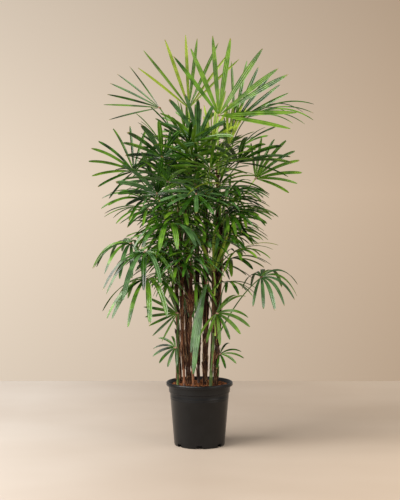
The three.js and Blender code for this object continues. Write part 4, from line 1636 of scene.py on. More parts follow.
@dataclass
class Foliage:
    """The fronds' leaflets, petioles and hubs as joined meshes, a piece for each green."""

    clump: Clump
    shape: BladeShape = BladeShape()
    stalk: StalkShape = StalkShape()
    bins: dict = field(default_factory=lambda: bins_for(Tone, "leaflets"))
    nodes: dict = field(default_factory=lambda: {tone: set() for tone in Tone})
    stalks: MeshBin = field(default_factory=lambda: MeshBin("petioles"))
    fresh_stalks: MeshBin = field(default_factory=lambda: MeshBin("petioles_fresh"))
    crests: MeshBin = field(default_factory=lambda: MeshBin("petiole_crests"))

    def add_leaflet(self, leaflet: Leaflet, tone: Tone, bluntness: float) -> None:
        """Adds a leaflet's pleated blade, closed and thin, to the piece of its green.

        Args:
            leaflet: the leaflet.
            tone: its green.
            bluntness: how blunt its tip is, from 0 to 1.
        """
        shape, rib = self.shape, leaflet.rib
        rng = Seeded(leaflet.seed)
        count = max(shape.least_stations, round(leaflet.last / shape.steps_per_station)) + 1
        steps = np.linspace(0, 1, count) * (leaflet.last - shape.first_step) + shape.first_step
        shares = steps / leaflet.last
        grid = np.arange(len(rib.points))
        spot, side, up, way = (
            np.stack([np.interp(steps, grid, rows[:, c]) for c in range(3)], axis=1)
            for rows in (rib.points, rib.sides, rib.ups, rib.headings))
        side, up, way = unit(side), unit(up), unit(way)
        reach = leaflet.length * steps / LEAFLET.fine_steps
        outline = (along(shape.pointed, shares) * (1 - bluntness)
                   + along(shape.blunt, shares) * bluntness)
        half = 0.5 * leaflet.width * outline
        half = np.minimum(half, reach * tan(min(leaflet.gap, shape.widest_gap) / 2)
                          * along(shape.sector, reach))
        folds = shape.folds(leaflet.width)
        lines = 2 * folds + 1
        q = np.linspace(-1, 1, lines)
        depth = half / folds * along(shape.pleats, shares)
        lift = np.outer(depth, np.where(np.arange(lines) % 2 == 0, 0.5, -0.5))
        top = (spot[:, None] + side[:, None] * (half[:, None] * q)[:, :, None]
               + up[:, None] * lift[:, :, None])
        sizes = [1 if 0 < k < lines - 1 else shape.edge_tooth for k in range(lines)]
        teeth = np.array([rng.between(-1, 1) * shape.tooth * size - (0 if k % 2 else shape.dip)
                          for k, size in enumerate(sizes)])
        top[-1] += way[-1] * teeth[:, None]
        bottom = top[1:-1, 1:-1] - up[1:-1, None] * shape.thickness
        rings = len(spot)
        points = np.vstack([top.reshape(-1, 3), bottom.reshape(-1, 3)])
        spots = np.stack(np.broadcast_arrays((q / 2 + 0.5)[None], shares[:, None]), axis=-1)
        spots = np.vstack([spots.reshape(-1, 2), spots[1:-1, 1:-1].reshape(-1, 2)])
        below = rings * lines

        def upper(i: int, j: int) -> int:
            """Number of a point of the upper side, by its ring and its line."""
            return i * lines + j

        def lower(i: int, j: int) -> int:
            """Number of a point of the lower side, which shares the edges of the upper one."""
            is_edge = i in (0, rings - 1) or j in (0, lines - 1)
            return upper(i, j) if is_edge else below + (i - 1) * (lines - 2) + j - 1

        faces = []
        for i in range(rings - 1):
            for j in range(lines - 1):
                faces.append((upper(i, j), upper(i, j + 1), upper(i + 1, j + 1), upper(i + 1, j)))
                faces.append((lower(i, j), lower(i + 1, j), lower(i + 1, j + 1), lower(i, j + 1)))
        self.bins[tone].add(points, faces, spots)

    def add_petiole(self, frond: Frond) -> None:
        """Adds a petiole with its swollen foot, and the dry crest where the leaflets join it.

        Args:
            frond: the frond.
        """
        stalks = self.fresh_stalks if frond.tone in (Tone.LIME, Tone.FRESH) else self.stalks
        shape, count = self.stalk, self.stalk.stations
        points = frond.petiole_points(count)
        axis, normal, _ = frond.axes()
        radii = [along(shape.profile, i / count) for i in range(count + 1)]
        if frond.node == NEWEST_FROND:
            radii = [radius * along(shape.newest, i / count) for i, radius in enumerate(radii)]
        stalks.add(*tube(points, radii, shape.sides, shape.thickness, normal))
        ridge = [frond.hub + axis * out + normal * over for out, over, _ in shape.crest]
        radii = [radius for _, _, radius in shape.crest]
        self.crests.add(*tube(ridge, radii, shape.sides, shape.crest_thickness, normal))

    def add_spear(self, cane: Cane) -> None:
        """Adds the folded young leaf that stands on a cane's tip, swaying a little to a point.

        Args:
            cane: the cane.
        """
        shape = self.stalk
        rng = Seeded(Seed.SPEAR + cane.index)
        height = WHORL.spear * shape.spear_share
        radius = cane.radius * CANE_FLARE[-1][1]
        sway = heading(rng.between(0, 360)) * shape.spear_sway
        profile = [(t, radius * share) for t, share in shape.spear_foot]
        profile += shape.spear_point
        shares = [i / shape.spear_stations for i in range(shape.spear_stations + 1)]
        points = [cane.tip + UP * (1 + (height - 1) * t) + sway * t * t for t in shares]
        radii = [along(profile, t) for t in shares]
        self.fresh_stalks.add(*tube(points, radii, shape.spear_sides, shape.spear_thickness))

    def build(self) -> list[Object]:
        """Builds every piece of the foliage.

        Returns:
            The pieces.
        """
        for frond in self.clump.fronds:
            rng = Seeded(Seed.TONE + frond.index)
            for leaflet in frond.grown:
                draw = rng.next()
                tone = NEXT_TONE[frond.tone] if draw < NEXT_UP_TO else frond.tone
                tone = OTHER_TONE[frond.tone] if draw > OTHER_FROM else tone
                self.add_leaflet(leaflet, tone, BLUNTNESS[frond.age])
                if frond.origin is not Origin.INNER:
                    self.nodes[tone].add(frond.node)
            self.add_petiole(frond)
        with_whorls = [cane for cane in self.clump.canes if cane.whorl]
        for cane in with_whorls:
            self.add_spear(cane)
        pieces = [finished(leaves, self.shape.smooth_angle, LEAVES[tone],
                           self.nodes[tone]) for tone, leaves in self.bins.items()]
        carried = [frond for frond in self.clump.fronds if frond.origin is not Origin.INNER]
        young = {frond.node for frond in carried if frond.tone in (Tone.LIME, Tone.FRESH)}
        old = {frond.node for frond in carried} - young
        young |= {cane.whorl_name for cane in with_whorls}
        angle = self.stalk.smooth_angle
        return [
            *pieces,
            finished(self.stalks, angle, PETIOLE_FINISH, old),
            finished(self.fresh_stalks, angle, YOUNG_PETIOLE_FINISH, young),
            finished(self.crests, angle, CREST_FINISH, young | old),
        ]


# ---- canes


@dataclass(frozen=True)
class CaneShape:
    """Form of the canes: joints, sheaths and the feet of old petioles.

    Pairs are from and to. A joint's profile is heights off it and shares of the stem's
    radius. A sheath's is shares of its height, how far inside its skin they lie and how much
    of the ragged edge they have.
    """

    joint: Pair = (24.0, 42.0)
    sunk: float = 6
    last_joint: float = 8
    joints_end: float = 30
    joint_profile: tuple = ((-3, 1.0), (0, 1.14), (1.2, 0.96))
    tip: float = 0.9
    over_tip: float = 0.6
    stem_in_sheath: float = 0.6
    core_share: float = 0.78
    sides: int = 14
    sheath_length: Pair = (50.0, 95.0)
    sheath_sides: int = 30
    sheath_profile: tuple = (
        (0, 0.0, 0), (0.1, 0.0, 0), (0.3, 0.0, 0), (0.55, 0.0, 0.1), (0.8, 0.0, 0.4),
        (1, 0.0, 1), (0.985, 0.9, 1), (0.8, 1.1, 0.4), (0.55, 1.2, 0.1))
    flare: tuple = ((0, 0.0), (0.15, 0.45), (0.6, 0.7), (1, 1.0))
    skin: float = 0.4
    snug: float = 0.12
    loose: Pair = (0.4, 3.0)
    loose_green: float = 0.4
    lean: float = 0.5
    ridge: float = 0.6
    ridge_at_foot: float = 0.5
    ridge_growth: float = 0.7
    least_gap: float = 0.15
    ragged: Pair = (-16.0, 7.0)
    bare_green: float = 200.0
    bare: float = 45.0
    bare_share: float = 0.5
    stub_every: float = 70.0
    stub_vary: Pair = (0.5, 1.5)
    stub_length: Pair = (30.0, 85.0)
    stub_lean: Pair = (1.0, 9.0)
    stub_radius: Pair = (1.7, 2.9)
    stub_taper: tuple[float, ...] = (1.25, 1.1, 1, 0.95, 0.9, 0.55)
    stub_sides: int = 7
    stub_thickness: float = 0.7
    stub_gap: float = 1.6
    stub_top: float = 760.0
    stub_under_tip: float = 60
    smooth_angle: float = 50
    sheath_angle: float = 60


@dataclass(frozen=True)
class StrandShape:
    """Form of a sheath's coarse fibres.

    Pairs are from and to, and of a start and an end they are shares of the sheath's height.
    One fibre in three crosses the sheath, by a turn in radians.
    """

    count: int = 22
    more_per_loose: float = 6
    sway: float = 0.25
    cross_every: int = 3
    cross: Pair = (0.7, 1.9)
    start: Pair = (0, 0.45)
    end: Pair = (0.7, 1.14)
    fray: Pair = (1.0, 5.0)
    fray_share: float = 0.35
    fray_from: float = 0.6
    off: Pair = (0.1, 0.9)
    wobble: float = 0.05
    radius: Pair = (0.3, 0.75)
    taper: tuple[float, ...] = (1, 1, 1, 1, 1, 1, 0.3)
    sides: int = 3
    pale_share: float = 0.45
    smooth_angle: float = 50


# Index of a cane, foot, height and looseness of a sheath that has burst into a tuft of fibre,
# and the shares of that height and looseness of the sheaths that lie in it.
TUFTS = ((4, 484, 86, 13.0), (2, 560, 70, 5.0), (8, 420, 80, 5.5), (5, 330, 70, 4.5))
TUFT_LAYERS = (1.0, 0.8, 0.6)

# Colours of each bark's smooth ringed stem and of its sheath, and of the loose fibres.
BARK_COLOURS = {
    Bark.BROWN: (("#160D0A", "#4E3426"), ("#090504", "#4A2F22")),
    Bark.TAN: (("#3C2518", "#855637"), ("#120A07", "#663F2A")),
    Bark.GREEN: (("#263810", "#5C7432"), ("#2A2314", "#544A2A")),
}
FIBRE_COLOURS = {True: ("pale", "#7A583C", "#B38C66"), False: ("dark", "#150D09", "#3F281B")}


@dataclass
class Sheath:
    """A sheath round a cane, with its foot and top and how far it stands off at the top."""

    cane: Cane
    foot: float
    top: float
    loose: float

    def height_at(self, share: float) -> float:
        """Height at a share of the way up it."""
        return self.foot + (self.top - self.foot) * share


@dataclass
class Canes:
    """The canes: ringed stems in overlapping sheaths of coarse fibre."""

    clump: Clump
    shape: CaneShape = CaneShape()
    strand: StrandShape = StrandShape()
    stems: dict = field(default_factory=lambda: bins_for(Bark, "stems"))
    sheaths: dict = field(default_factory=lambda: bins_for(Bark, "sheaths"))
    strands: dict = field(default_factory=lambda: {
        pale: MeshBin(f"fibres_{row[0]}") for pale, row in FIBRE_COLOURS.items()})

    def add_stem(self, cane: Cane) -> list[float]:
        """Adds the ringed stem of a cane.

        Args:
            cane: the cane.

        Returns:
            The heights of its joints.
        """
        shape, tip = self.shape, cane.tip[2]
        rng = Seeded(Seed.STEM + cane.index)
        joints = [cane.foot[2] + shape.sunk]
        while joints[-1] < tip - shape.joints_end:
            joints.append(joints[-1] + rng.between(*shape.joint))
        joints = [z for z in joints if z < tip - shape.last_joint]
        stations = [(cane.foot[2] - shape.sunk, 1.0)]
        stations += [(z + off, swell) for z in joints for off, swell in shape.joint_profile]
        end = tip + WHORL.sheath * shape.stem_in_sheath
        stations += [(tip - 1, shape.tip), (end, shape.over_tip)]
        points = [cane.at(min(z, tip)) + UP * max(0.0, z - tip) for z, _ in stations]
        radii = [self.core(cane, z) * swell for z, swell in stations]
        self.stems[cane.bark].add(*tube(points, radii, shape.sides))
        return joints

    def core(self, cane: Cane, z: float) -> float:
        """Radius of a cane's bare stem at a height."""
        return cane.radius_at(min(z, cane.tip[2])) * self.shape.core_share

    def skin(self, sheath: Sheath, z: float, share: float) -> float:
        """Radius of a sheath at a height, which is a share of the way up it."""
        off = (sheath.cane.radius * self.shape.snug + sheath.loose) * along(self.shape.flare, share)
        return self.core(sheath.cane, z) + self.shape.skin + off

    def add_sheath(self, sheath: Sheath, rng: Seeded) -> None:
        """Adds one sheath: a furrowed tube that opens upwards, with a ragged top edge.

        Args:
            sheath: the sheath.
            rng: the cane's random numbers.
        """
        shape, sides, cane = self.shape, self.shape.sheath_sides, sheath.cane
        angles = 2 * np.pi * np.arange(sides) / sides
        circle = np.stack([np.cos(angles), np.sin(angles), 0 * angles], axis=1)
        ridges = np.array([rng.spread(shape.ridge) for _ in range(sides)])
        ragged = np.array([rng.between(*shape.ragged) for _ in range(sides)])
        lean = heading(rng.between(0, 360)) * sheath.loose * shape.lean
        rings = []
        for t, inset, edge in shape.sheath_profile:
            z = sheath.height_at(t)
            middle = cane.at(min(z, cane.tip[2] + WHORL.sheath)) + lean * t * t
            ridged = ridges * (shape.ridge_at_foot + shape.ridge_growth * t)
            radius = self.skin(sheath, z, t) - inset + ridged
            radius = np.maximum(radius, self.core(cane, z) + shape.least_gap)
            ring = middle + radius[:, None] * circle
            ring[:, 2] = z + ragged * edge
            rings.append(ring)
        self.sheaths[cane.bark].add(np.vstack(rings), tube_faces(len(rings), sides))

    def add_strands(self, sheath: Sheath, rng: Seeded) -> None:
        """Adds a sheath's coarse fibres: most run up it, some cross it, and some fray off.

        Args:
            sheath: the sheath.
            rng: the cane's random numbers.
        """
        strand, cane = self.strand, sheath.cane
        steps = len(strand.taper) - 1
        for k in range(round(strand.count * (1 + sheath.loose / strand.more_per_loose))):
            start = rng.between(0, 2 * pi)
            turn = rng.spread(strand.sway) if k % strand.cross_every else (
                (1 if k % 2 else -1) * rng.between(*strand.cross))
            low = sheath.height_at(rng.between(*strand.start))
            high = sheath.height_at(rng.between(*strand.end))
            most = strand.fray[1] + sheath.loose
            fray = rng.between(strand.fray[0], most) if rng.next() < strand.fray_share else 0.0
            points = []
            for i in range(steps + 1):
                t = i / steps
                z = low + (high - low) * t
                share = (z - sheath.foot) / (sheath.top - sheath.foot)
                radius = self.skin(sheath, z, share) + rng.between(*strand.off)
                radius += fray * max(0.0, t - strand.fray_from) / (1 - strand.fray_from)
                angle = start + turn * t + rng.spread(strand.wobble)
                points.append(cane.at(min(z, cane.tip[2])) * LEVEL + UP * z
                              + radius * np.array([cos(angle), sin(angle), 0.0]))
            size = rng.between(*strand.radius)
            radii = [size * share for share in strand.taper]
            self.strands[rng.next() < strand.pale_share].add(*tube(points, radii, strand.sides))

    def add_stub(self, cane: Cane, z: float, rng: Seeded) -> None:
        """Adds the dead foot of an old petiole, pressed to the cane and broken off at its top.

        Args:
            cane: the cane that it stands against.
            z: the height of its foot.
            rng: the cane's random numbers.
        """
        shape = self.shape
        out = heading(rng.between(0, 360))
        length, lean = rng.between(*shape.stub_length), rng.between(*shape.stub_lean)
        points = []
        for i in range(len(shape.stub_taper)):
            t = i / (len(shape.stub_taper) - 1)
            height = min(z + length * t, cane.tip[2])
            off = self.core(cane, height) + shape.stub_gap + lean * t * t
            points.append(cane.at(height) + UP * (z + length * t - height) + out * off)
        size = rng.between(*shape.stub_radius)
        radii = [size * share for share in shape.stub_taper]
        self.stems[Bark.TAN].add(*tube(points, radii, shape.stub_sides, shape.stub_thickness, out))

    def dress_cane(self, cane: Cane) -> None:
        """Adds everything that one cane carries.

        Args:
            cane: the cane.
        """
        shape = self.shape
        joints = self.add_stem(cane)
        rng = Seeded(Seed.SHEATH + cane.index)
        green = cane.bark is Bark.GREEN
        bare = cane.foot[2] + (shape.bare_green if green else shape.bare)
        for z in joints[::2]:
            if z < bare and (green or rng.next() < shape.bare_share):
                continue
            top = min(z + rng.between(*shape.sheath_length), cane.tip[2] + WHORL.sheath)
            loose = rng.between(*shape.loose) * (shape.loose_green if green else 1)
            sheath = Sheath(cane, z, top, loose)
            self.add_sheath(sheath, rng)
            self.add_strands(sheath, rng)
        z = cane.foot[2] + rng.between(0, shape.stub_every)
        while z < min(cane.tip[2] - shape.stub_under_tip, shape.stub_top):
            self.add_stub(cane, z, rng)
            z += shape.stub_every * rng.between(*shape.stub_vary)

    def build(self) -> list[Object]:
        """Builds the canes' pieces.

        Returns:
            The pieces.
        """
        for cane in self.clump.canes:
            self.dress_cane(cane)
        for index, foot, height, loose in TUFTS:
            rng = Seeded(Seed.TUFT + index)
            cane = self.clump.canes[index]
            for share in TUFT_LAYERS:
                sheath = Sheath(cane, foot, foot + height * share, loose * share)
                self.add_sheath(sheath, rng)
                self.add_strands(sheath, rng)
        pieces = []
        for bark in Bark:
            names = [cane.name for cane in self.clump.canes if cane.bark is bark]
            stem, sheath = BARK_COLOURS[bark]
            # A dull skin with soft rings, and matted fibre that runs upwards.
            skin = PlainFinish(f"{bark.value}_cane_skin", *stem, 18, 0.6, 2.0, 0.25, (1, 1, 0.35))
            fibre = PlainFinish(f"{bark.value}_sheath_fibre", *sheath, 5, 0.9, 1.4, 0.7,
                                (1, 1, 0.1), 0.2)
            pieces += [
                finished(self.stems[bark], self.shape.smooth_angle, skin, names),
                finished(self.sheaths[bark], self.shape.sheath_angle, fibre, names),
            ]
        names = [cane.name for cane in self.clump.canes]
        for pale, gathered in self.strands.items():
            name, *colours = FIBRE_COLOURS[pale]
            # Dry palm fibre, wiry and matt.
            hair = PlainFinish(f"{name}_palm_fibre", *colours, 12, 0.85, 1.0, 0.1, (1, 1, 0.4),
                               0.25)
            pieces.append(
                finished(gathered, self.strand.smooth_angle, hair, names))
        return pieces


# ---- pot and potting mix


@dataclass(frozen=True)
class Pot:
    """Moulded nursery pot with a rolled rim, a collar and drain notches.

    The lip's points are how far they lie inside the rim's edge and under its crest.
    """

    height: float = 232
    base_radius: float = 92.5
    body_radius: float = 110
    collar: float = 3.2
    collar_height: float = 24
    rim_radius: float = 121.5
    rim_height: float = 14
    wall: float = 3
    floor: float = 4
    rounding: float = 4
    foot_ring: float = 6
    collar_edge: Pair = (0.6, 1.2)
    collar_taper: float = 0.3
    hem: float = 4.5
    hem_radius: float = 3.2
    crest_radius: float = 5.0
    lip: tuple = ((6.0, 0.3), (7.2, 1.8), (9.2, 5.5), (11.6, 11))
    lip_wall: float = 0.4
    facets: int = 112
    notches: int = 7
    notch_width: float = 21
    notch_height: float = 11
    notch_depth: float = 18
    rings: tuple[float, ...] = (171.0, 178.0)
    ring_height: float = 0.45
    ring_half: float = 1.4
    ring_flat: float = 0.4
    smooth_angle: float = 35

    def radius(self, z: float) -> float:
        """Radius of the outer wall at a height, rim left aside."""
        growth = self.body_radius - self.base_radius
        return self.base_radius + growth * z / (self.height - self.rim_height)

    def profile(self) -> list[Pair]:
        """Draws the wall's outline, from the axis under the pot round to the axis inside.

        Returns:
            Radius and height of each point.
        """
        top, under = self.height, self.height - self.rim_height
        foot = under - self.collar_height
        below, above = self.collar_edge
        rounding, corner = self.rounding, self.base_radius - self.rounding
        points = [(0.0, 0.0), (corner - self.foot_ring, 0.0)]
        points += self.arc(corner, rounding, rounding, -90, 0, 6)
        for z in self.rings:
            half, flat, crest = self.ring_half, self.ring_flat, self.radius(z) + self.ring_height
            points += [(self.radius(z - half), z - half), (crest, z - flat), (crest, z + flat),
                       (self.radius(z + half), z + half)]
        points += [(self.radius(foot - below), foot - below),
                   (self.radius(foot) + self.collar, foot + above),
                   (self.radius(under) + self.collar - self.collar_taper, under - 1.0)]
        # The rim is rolled over: its lower hem turns in towards the wall.
        points += [(self.radius(under) + self.hem, under - 0.2)]
        points += self.arc(self.rim_radius - self.hem_radius, under + self.hem_radius,
                           self.hem_radius, -90, 0, 5)
        points += self.arc(self.rim_radius - self.crest_radius, top - self.crest_radius,
                           self.crest_radius, 0, 90, 7)
        # Inside, the lip is thin and slopes down into the wall.
        points += [(self.rim_radius - inside, top - down) for inside, down in self.lip]
        points += [(self.radius(under) - self.wall + self.lip_wall, under - 2.0),
                   (self.radius(self.floor) - self.wall, self.floor), (0.0, self.floor)]
        return points

    @staticmethod
    def arc(x: float, z: float, radius: float, start: float, end: float, steps: int) -> list:
        """Points of an arc round x, z from a start to an end in degrees, in steps."""
        angles = [radians(start + (end - start) * i / steps) for i in range(steps + 1)]
        return [(x + radius * cos(a), z + radius * sin(a)) for a in angles]

    def build(self) -> Object:
        """Turns the pot, cuts its notches and dresses it.

        Returns:
            The pot.
        """
        pot = spun("nursery_pot", self.profile(), self.facets)
        for k in range(self.notches):
            angle = radians(-90 + 360 * k / self.notches)
            out = Vector((cos(angle), sin(angle), 0))
            place = out * (self.base_radius + self.rounding) * MM
            size = Vector((2 * self.notch_depth, self.notch_width, 2 * self.notch_height)) * MM
            bpy.ops.object.select_all(action="DESELECT")
            bpy.ops.mesh.primitive_cube_add(size=1, location=place, rotation=(0, 0, angle),
                                            scale=size)
            cutter = bpy.context.active_object
            only(pot)
            cut = pot.modifiers.new("notch", "BOOLEAN")
            cut.operation, cut.object, cut.solver = "DIFFERENCE", cutter, "EXACT"
            bpy.ops.object.modifier_apply(modifier=cut.name)
            bpy.data.objects.remove(cutter)
        smooth_shade(pot, self.smooth_angle)
        # Injection-moulded polypropylene: charcoal black, with a satin bloom on its fine grain.
        plastic = PlainFinish("moulded_polypropylene", "#07080A", "#0D0E10", 45, 0.3, 0.9, 0.03,
                              EVEN, 0.4)
        dress(pot, plastic.make())
        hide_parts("pot")
        return pot


def spun(name: str, profile: Sequence[Pair], steps: int) -> Object:
    """Draws a profile point by point and spins it round the upright axis.

    Args:
        name: the piece's name.
        profile: radius and height of each point, from axis to axis.
        steps: facets of the whole turn.

    Returns:
        The closed piece, with its normals out.
    """
    bpy.ops.object.select_all(action="DESELECT")
    bpy.ops.mesh.primitive_plane_add(size=MM)
    piece = bpy.context.active_object
    piece.name = piece.data.name = name
    bpy.ops.object.mode_set(mode="EDIT")
    bpy.ops.mesh.select_all(action="SELECT")
    bpy.ops.mesh.merge(type="CENTER")
    here = Vector((profile[0][0], 0, profile[0][1])) * MM
    bpy.ops.transform.translate(value=here)
    for x, z in profile[1:]:
        there = Vector((x, 0, z)) * MM
        bpy.ops.mesh.extrude_vertices_move(TRANSFORM_OT_translate={"value": there - here})
        here = there
    bpy.ops.mesh.select_all(action="SELECT")
    bpy.ops.mesh.spin(steps=steps, angle=2 * pi, center=(0, 0, 0), axis=(0, 0, 1))
    bpy.ops.mesh.select_all(action="SELECT")
    bpy.ops.mesh.remove_doubles(threshold=2e-5)
    bpy.ops.mesh.normals_make_consistent(inside=False)
    bpy.ops.object.mode_set(mode="OBJECT")
    only(piece)
    bpy.ops.object.transform_apply(location=True, rotation=True, scale=True)
    return piece


@dataclass(frozen=True)
class PottingMix:
    """Bark and coir mix: an uneven surface with chips and fibres on it.

    Pairs are from and to. Over places are how high above the surface a thing lies.
    """

    pot: Pot
    top: float = SOIL_TOP + 6
    foot: float = 14.0
    facets: int = 96
    rings: int = 22
    lump: float = 26
    lump_height: float = 2.6
    lump_noise: tuple[float, float, int] = (0.8, 2.1, 3)
    sunk: float = 1.0
    top_skin: float = 0.5
    mound: float = 3.0
    mound_radius: float = 105
    smooth_angle: float = 60
    wall_gap: float = 7
    chips: int = 620
    chip_sizes: tuple = ((2.5, 8), (1.2, 3.4), (0.5, 1.2))
    chip_corner: Pair = (0.65, 1.0)
    chip_slant: float = 0.6
    chip_over: Pair = (0.2, 1.6)
    chip_angle: float = 20
    threads: int = 150
    thread_length: Pair = (10, 26)
    thread_bend: float = 1.2
    thread_radii: tuple[float, ...] = (0.35, 0.35, 0.35, 0.35, 0.35, 0.15)
    thread_gap: float = 4
    thread_over: float = 0.9
    thread_arch: float = 1.8
    thread_sides: int = 3
    thread_angle: float = 50

    def surface(self, x: float, y: float) -> float:
        """Gives the height of the mix.

        Args:
            x: the place across.
            y: the place in depth.

        Returns:
            The height.
        """
        lumps = noise.fractal(Vector((x, y, 0)) / self.lump, *self.lump_noise)
        rise = self.mound * smooth(1 - hypot(x, y) / self.mound_radius)
        return self.top - self.sunk + self.lump_height * lumps + rise

    def edge(self, z: float) -> float:
        """Radius of the mix at a height."""
        return self.pot.radius(z) - self.pot.wall - GAP

    def build(self) -> list[Object]:
        """Builds the mix, its chips and its fibres.

        Returns:
            The pieces.
        """
        rim = self.edge(self.top)
        profile = [(0.0, self.foot), (self.edge(self.foot), self.foot), (rim, self.top - 1)]
        profile += [(rim * (1 - k / self.rings), self.top) for k in range(1, self.rings + 1)]
        mix = spun("potting_mix", profile, self.facets)
        for vertex in mix.data.vertices:
            x, y, z = vertex.co / MM
            if z > self.top - self.top_skin:
                vertex.co.z = self.surface(x, y) * MM
        smooth_shade(mix, self.smooth_angle)
        # Damp composted bark and coir, crumbly and all but without gloss.
        base = PlainFinish("bark_and_coir", "#1C0D06", "#783E22", 9, 0.95, 3.0, 1.6, EVEN, 0.15)
        dress(mix, base.make())
        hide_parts("soil")
        return [mix, self._chips(), self._threads()]

    def _place(self, rng: Seeded) -> Pair:
        """Draws a place on the mix, even all over.

        Args:
            rng: the random numbers.

        Returns:
            The place across and in depth.
        """
        radius = (self.edge(self.top) - self.wall_gap) * sqrt(rng.next())
        angle = rng.between(0, 2 * pi)
        return radius * cos(angle), radius * sin(angle)

    def _chips(self) -> Object:
        """Scatters bark chips: uneven slabs that lie on the mix at a slant.

        Returns:
            The piece.
        """
        rng = Seeded(Seed.CHIPS)
        chips = MeshBin("bark_chips")
        ends = (-1, 1)
        box = [(a, b, c) for c in ends for b in ends for a in ends]
        faces = [(0, 2, 3, 1), (4, 5, 7, 6), (0, 1, 5, 4), (2, 6, 7, 3), (0, 4, 6, 2), (1, 3, 7, 5)]
        for _ in range(self.chips):
            x, y = self._place(rng)
            size = [rng.between(*span) for span in self.chip_sizes]
            turn = Matrix.Rotation(rng.between(0, tau), 3, "Z")
            for axis in "YX":
                turn = turn @ Matrix.Rotation(rng.spread(self.chip_slant), 3, axis)
            spot = np.array([x, y, self.surface(x, y) + rng.between(*self.chip_over)])
            points = [
                spot + turn @ Vector([s * c * rng.between(*self.chip_corner)
                                      for s, c in zip(size, corner)])
                for corner in box
            ]
            chips.add(np.array(points), faces)
        # Composted bark: fibrous and matt, paler where it has broken.
        skin = PlainFinish("composted_bark", "#3A1F12", "#A0643C", 14, 0.85, 1.5, 0.4, EVEN, 0.25)
        return dress(chips.build(self.chip_angle), skin.make())

    def _threads(self) -> Object:
        """Scatters coir fibres over the mix.

        Returns:
            The piece.
        """
        rng = Seeded(Seed.THREADS)
        threads = MeshBin("coir_fibres")
        steps = len(self.thread_radii) - 1
        for _ in range(self.threads):
            x, y = self._place(rng)
            angle, bend = rng.between(0, tau), rng.spread(self.thread_bend)
            length = rng.between(*self.thread_length)
            points = []
            for t in (i / steps for i in range(steps + 1)):
                x += cos(angle + bend * t) * length / steps
                y += sin(angle + bend * t) * length / steps
                most = self.edge(self.top) - self.thread_gap
                shrink = min(1.0, most / max(1.0, hypot(x, y)))
                x, y = x * shrink, y * shrink
                over = self.thread_over + self.thread_arch * sin(pi * t)
                points.append(np.array([x, y, self.surface(x, y) + over]))
            threads.add(*tube(points, self.thread_radii, self.thread_sides))
        # Dry coir, wiry and matt.
        skin = PlainFinish("coir_thread", "#6A3E24", "#B07A4C", 20, 0.9, 1.0, 0.05, EVEN, 0.2)
        return dress(threads.build(self.thread_angle), skin.make())


# ---- floor, light and camera


@dataclass(frozen=True)
class Lamp:
    """A soft square lamp: where it hangs and points, its side and its power, in m and W."""

    name: str
    place: Triple
    target: Triple
    size: float
    power: float
    hex_colour: str

    def hang(self) -> None:
        """Hangs the lamp."""
        lamp = bpy.data.lights.new(self.name, "AREA")
        lamp.shape, lamp.size, lamp.energy = "SQUARE", self.size, self.power
        lamp.color = linear(self.hex_colour)[:3]
        holder = bpy.data.objects.new(self.name, lamp)
        bpy.context.scene.collection.objects.link(holder)
        holder.location = self.place
        way = Vector(self.target) - Vector(self.place)
        holder.rotation_euler = way.to_track_quat("-Z", "Y").to_euler()


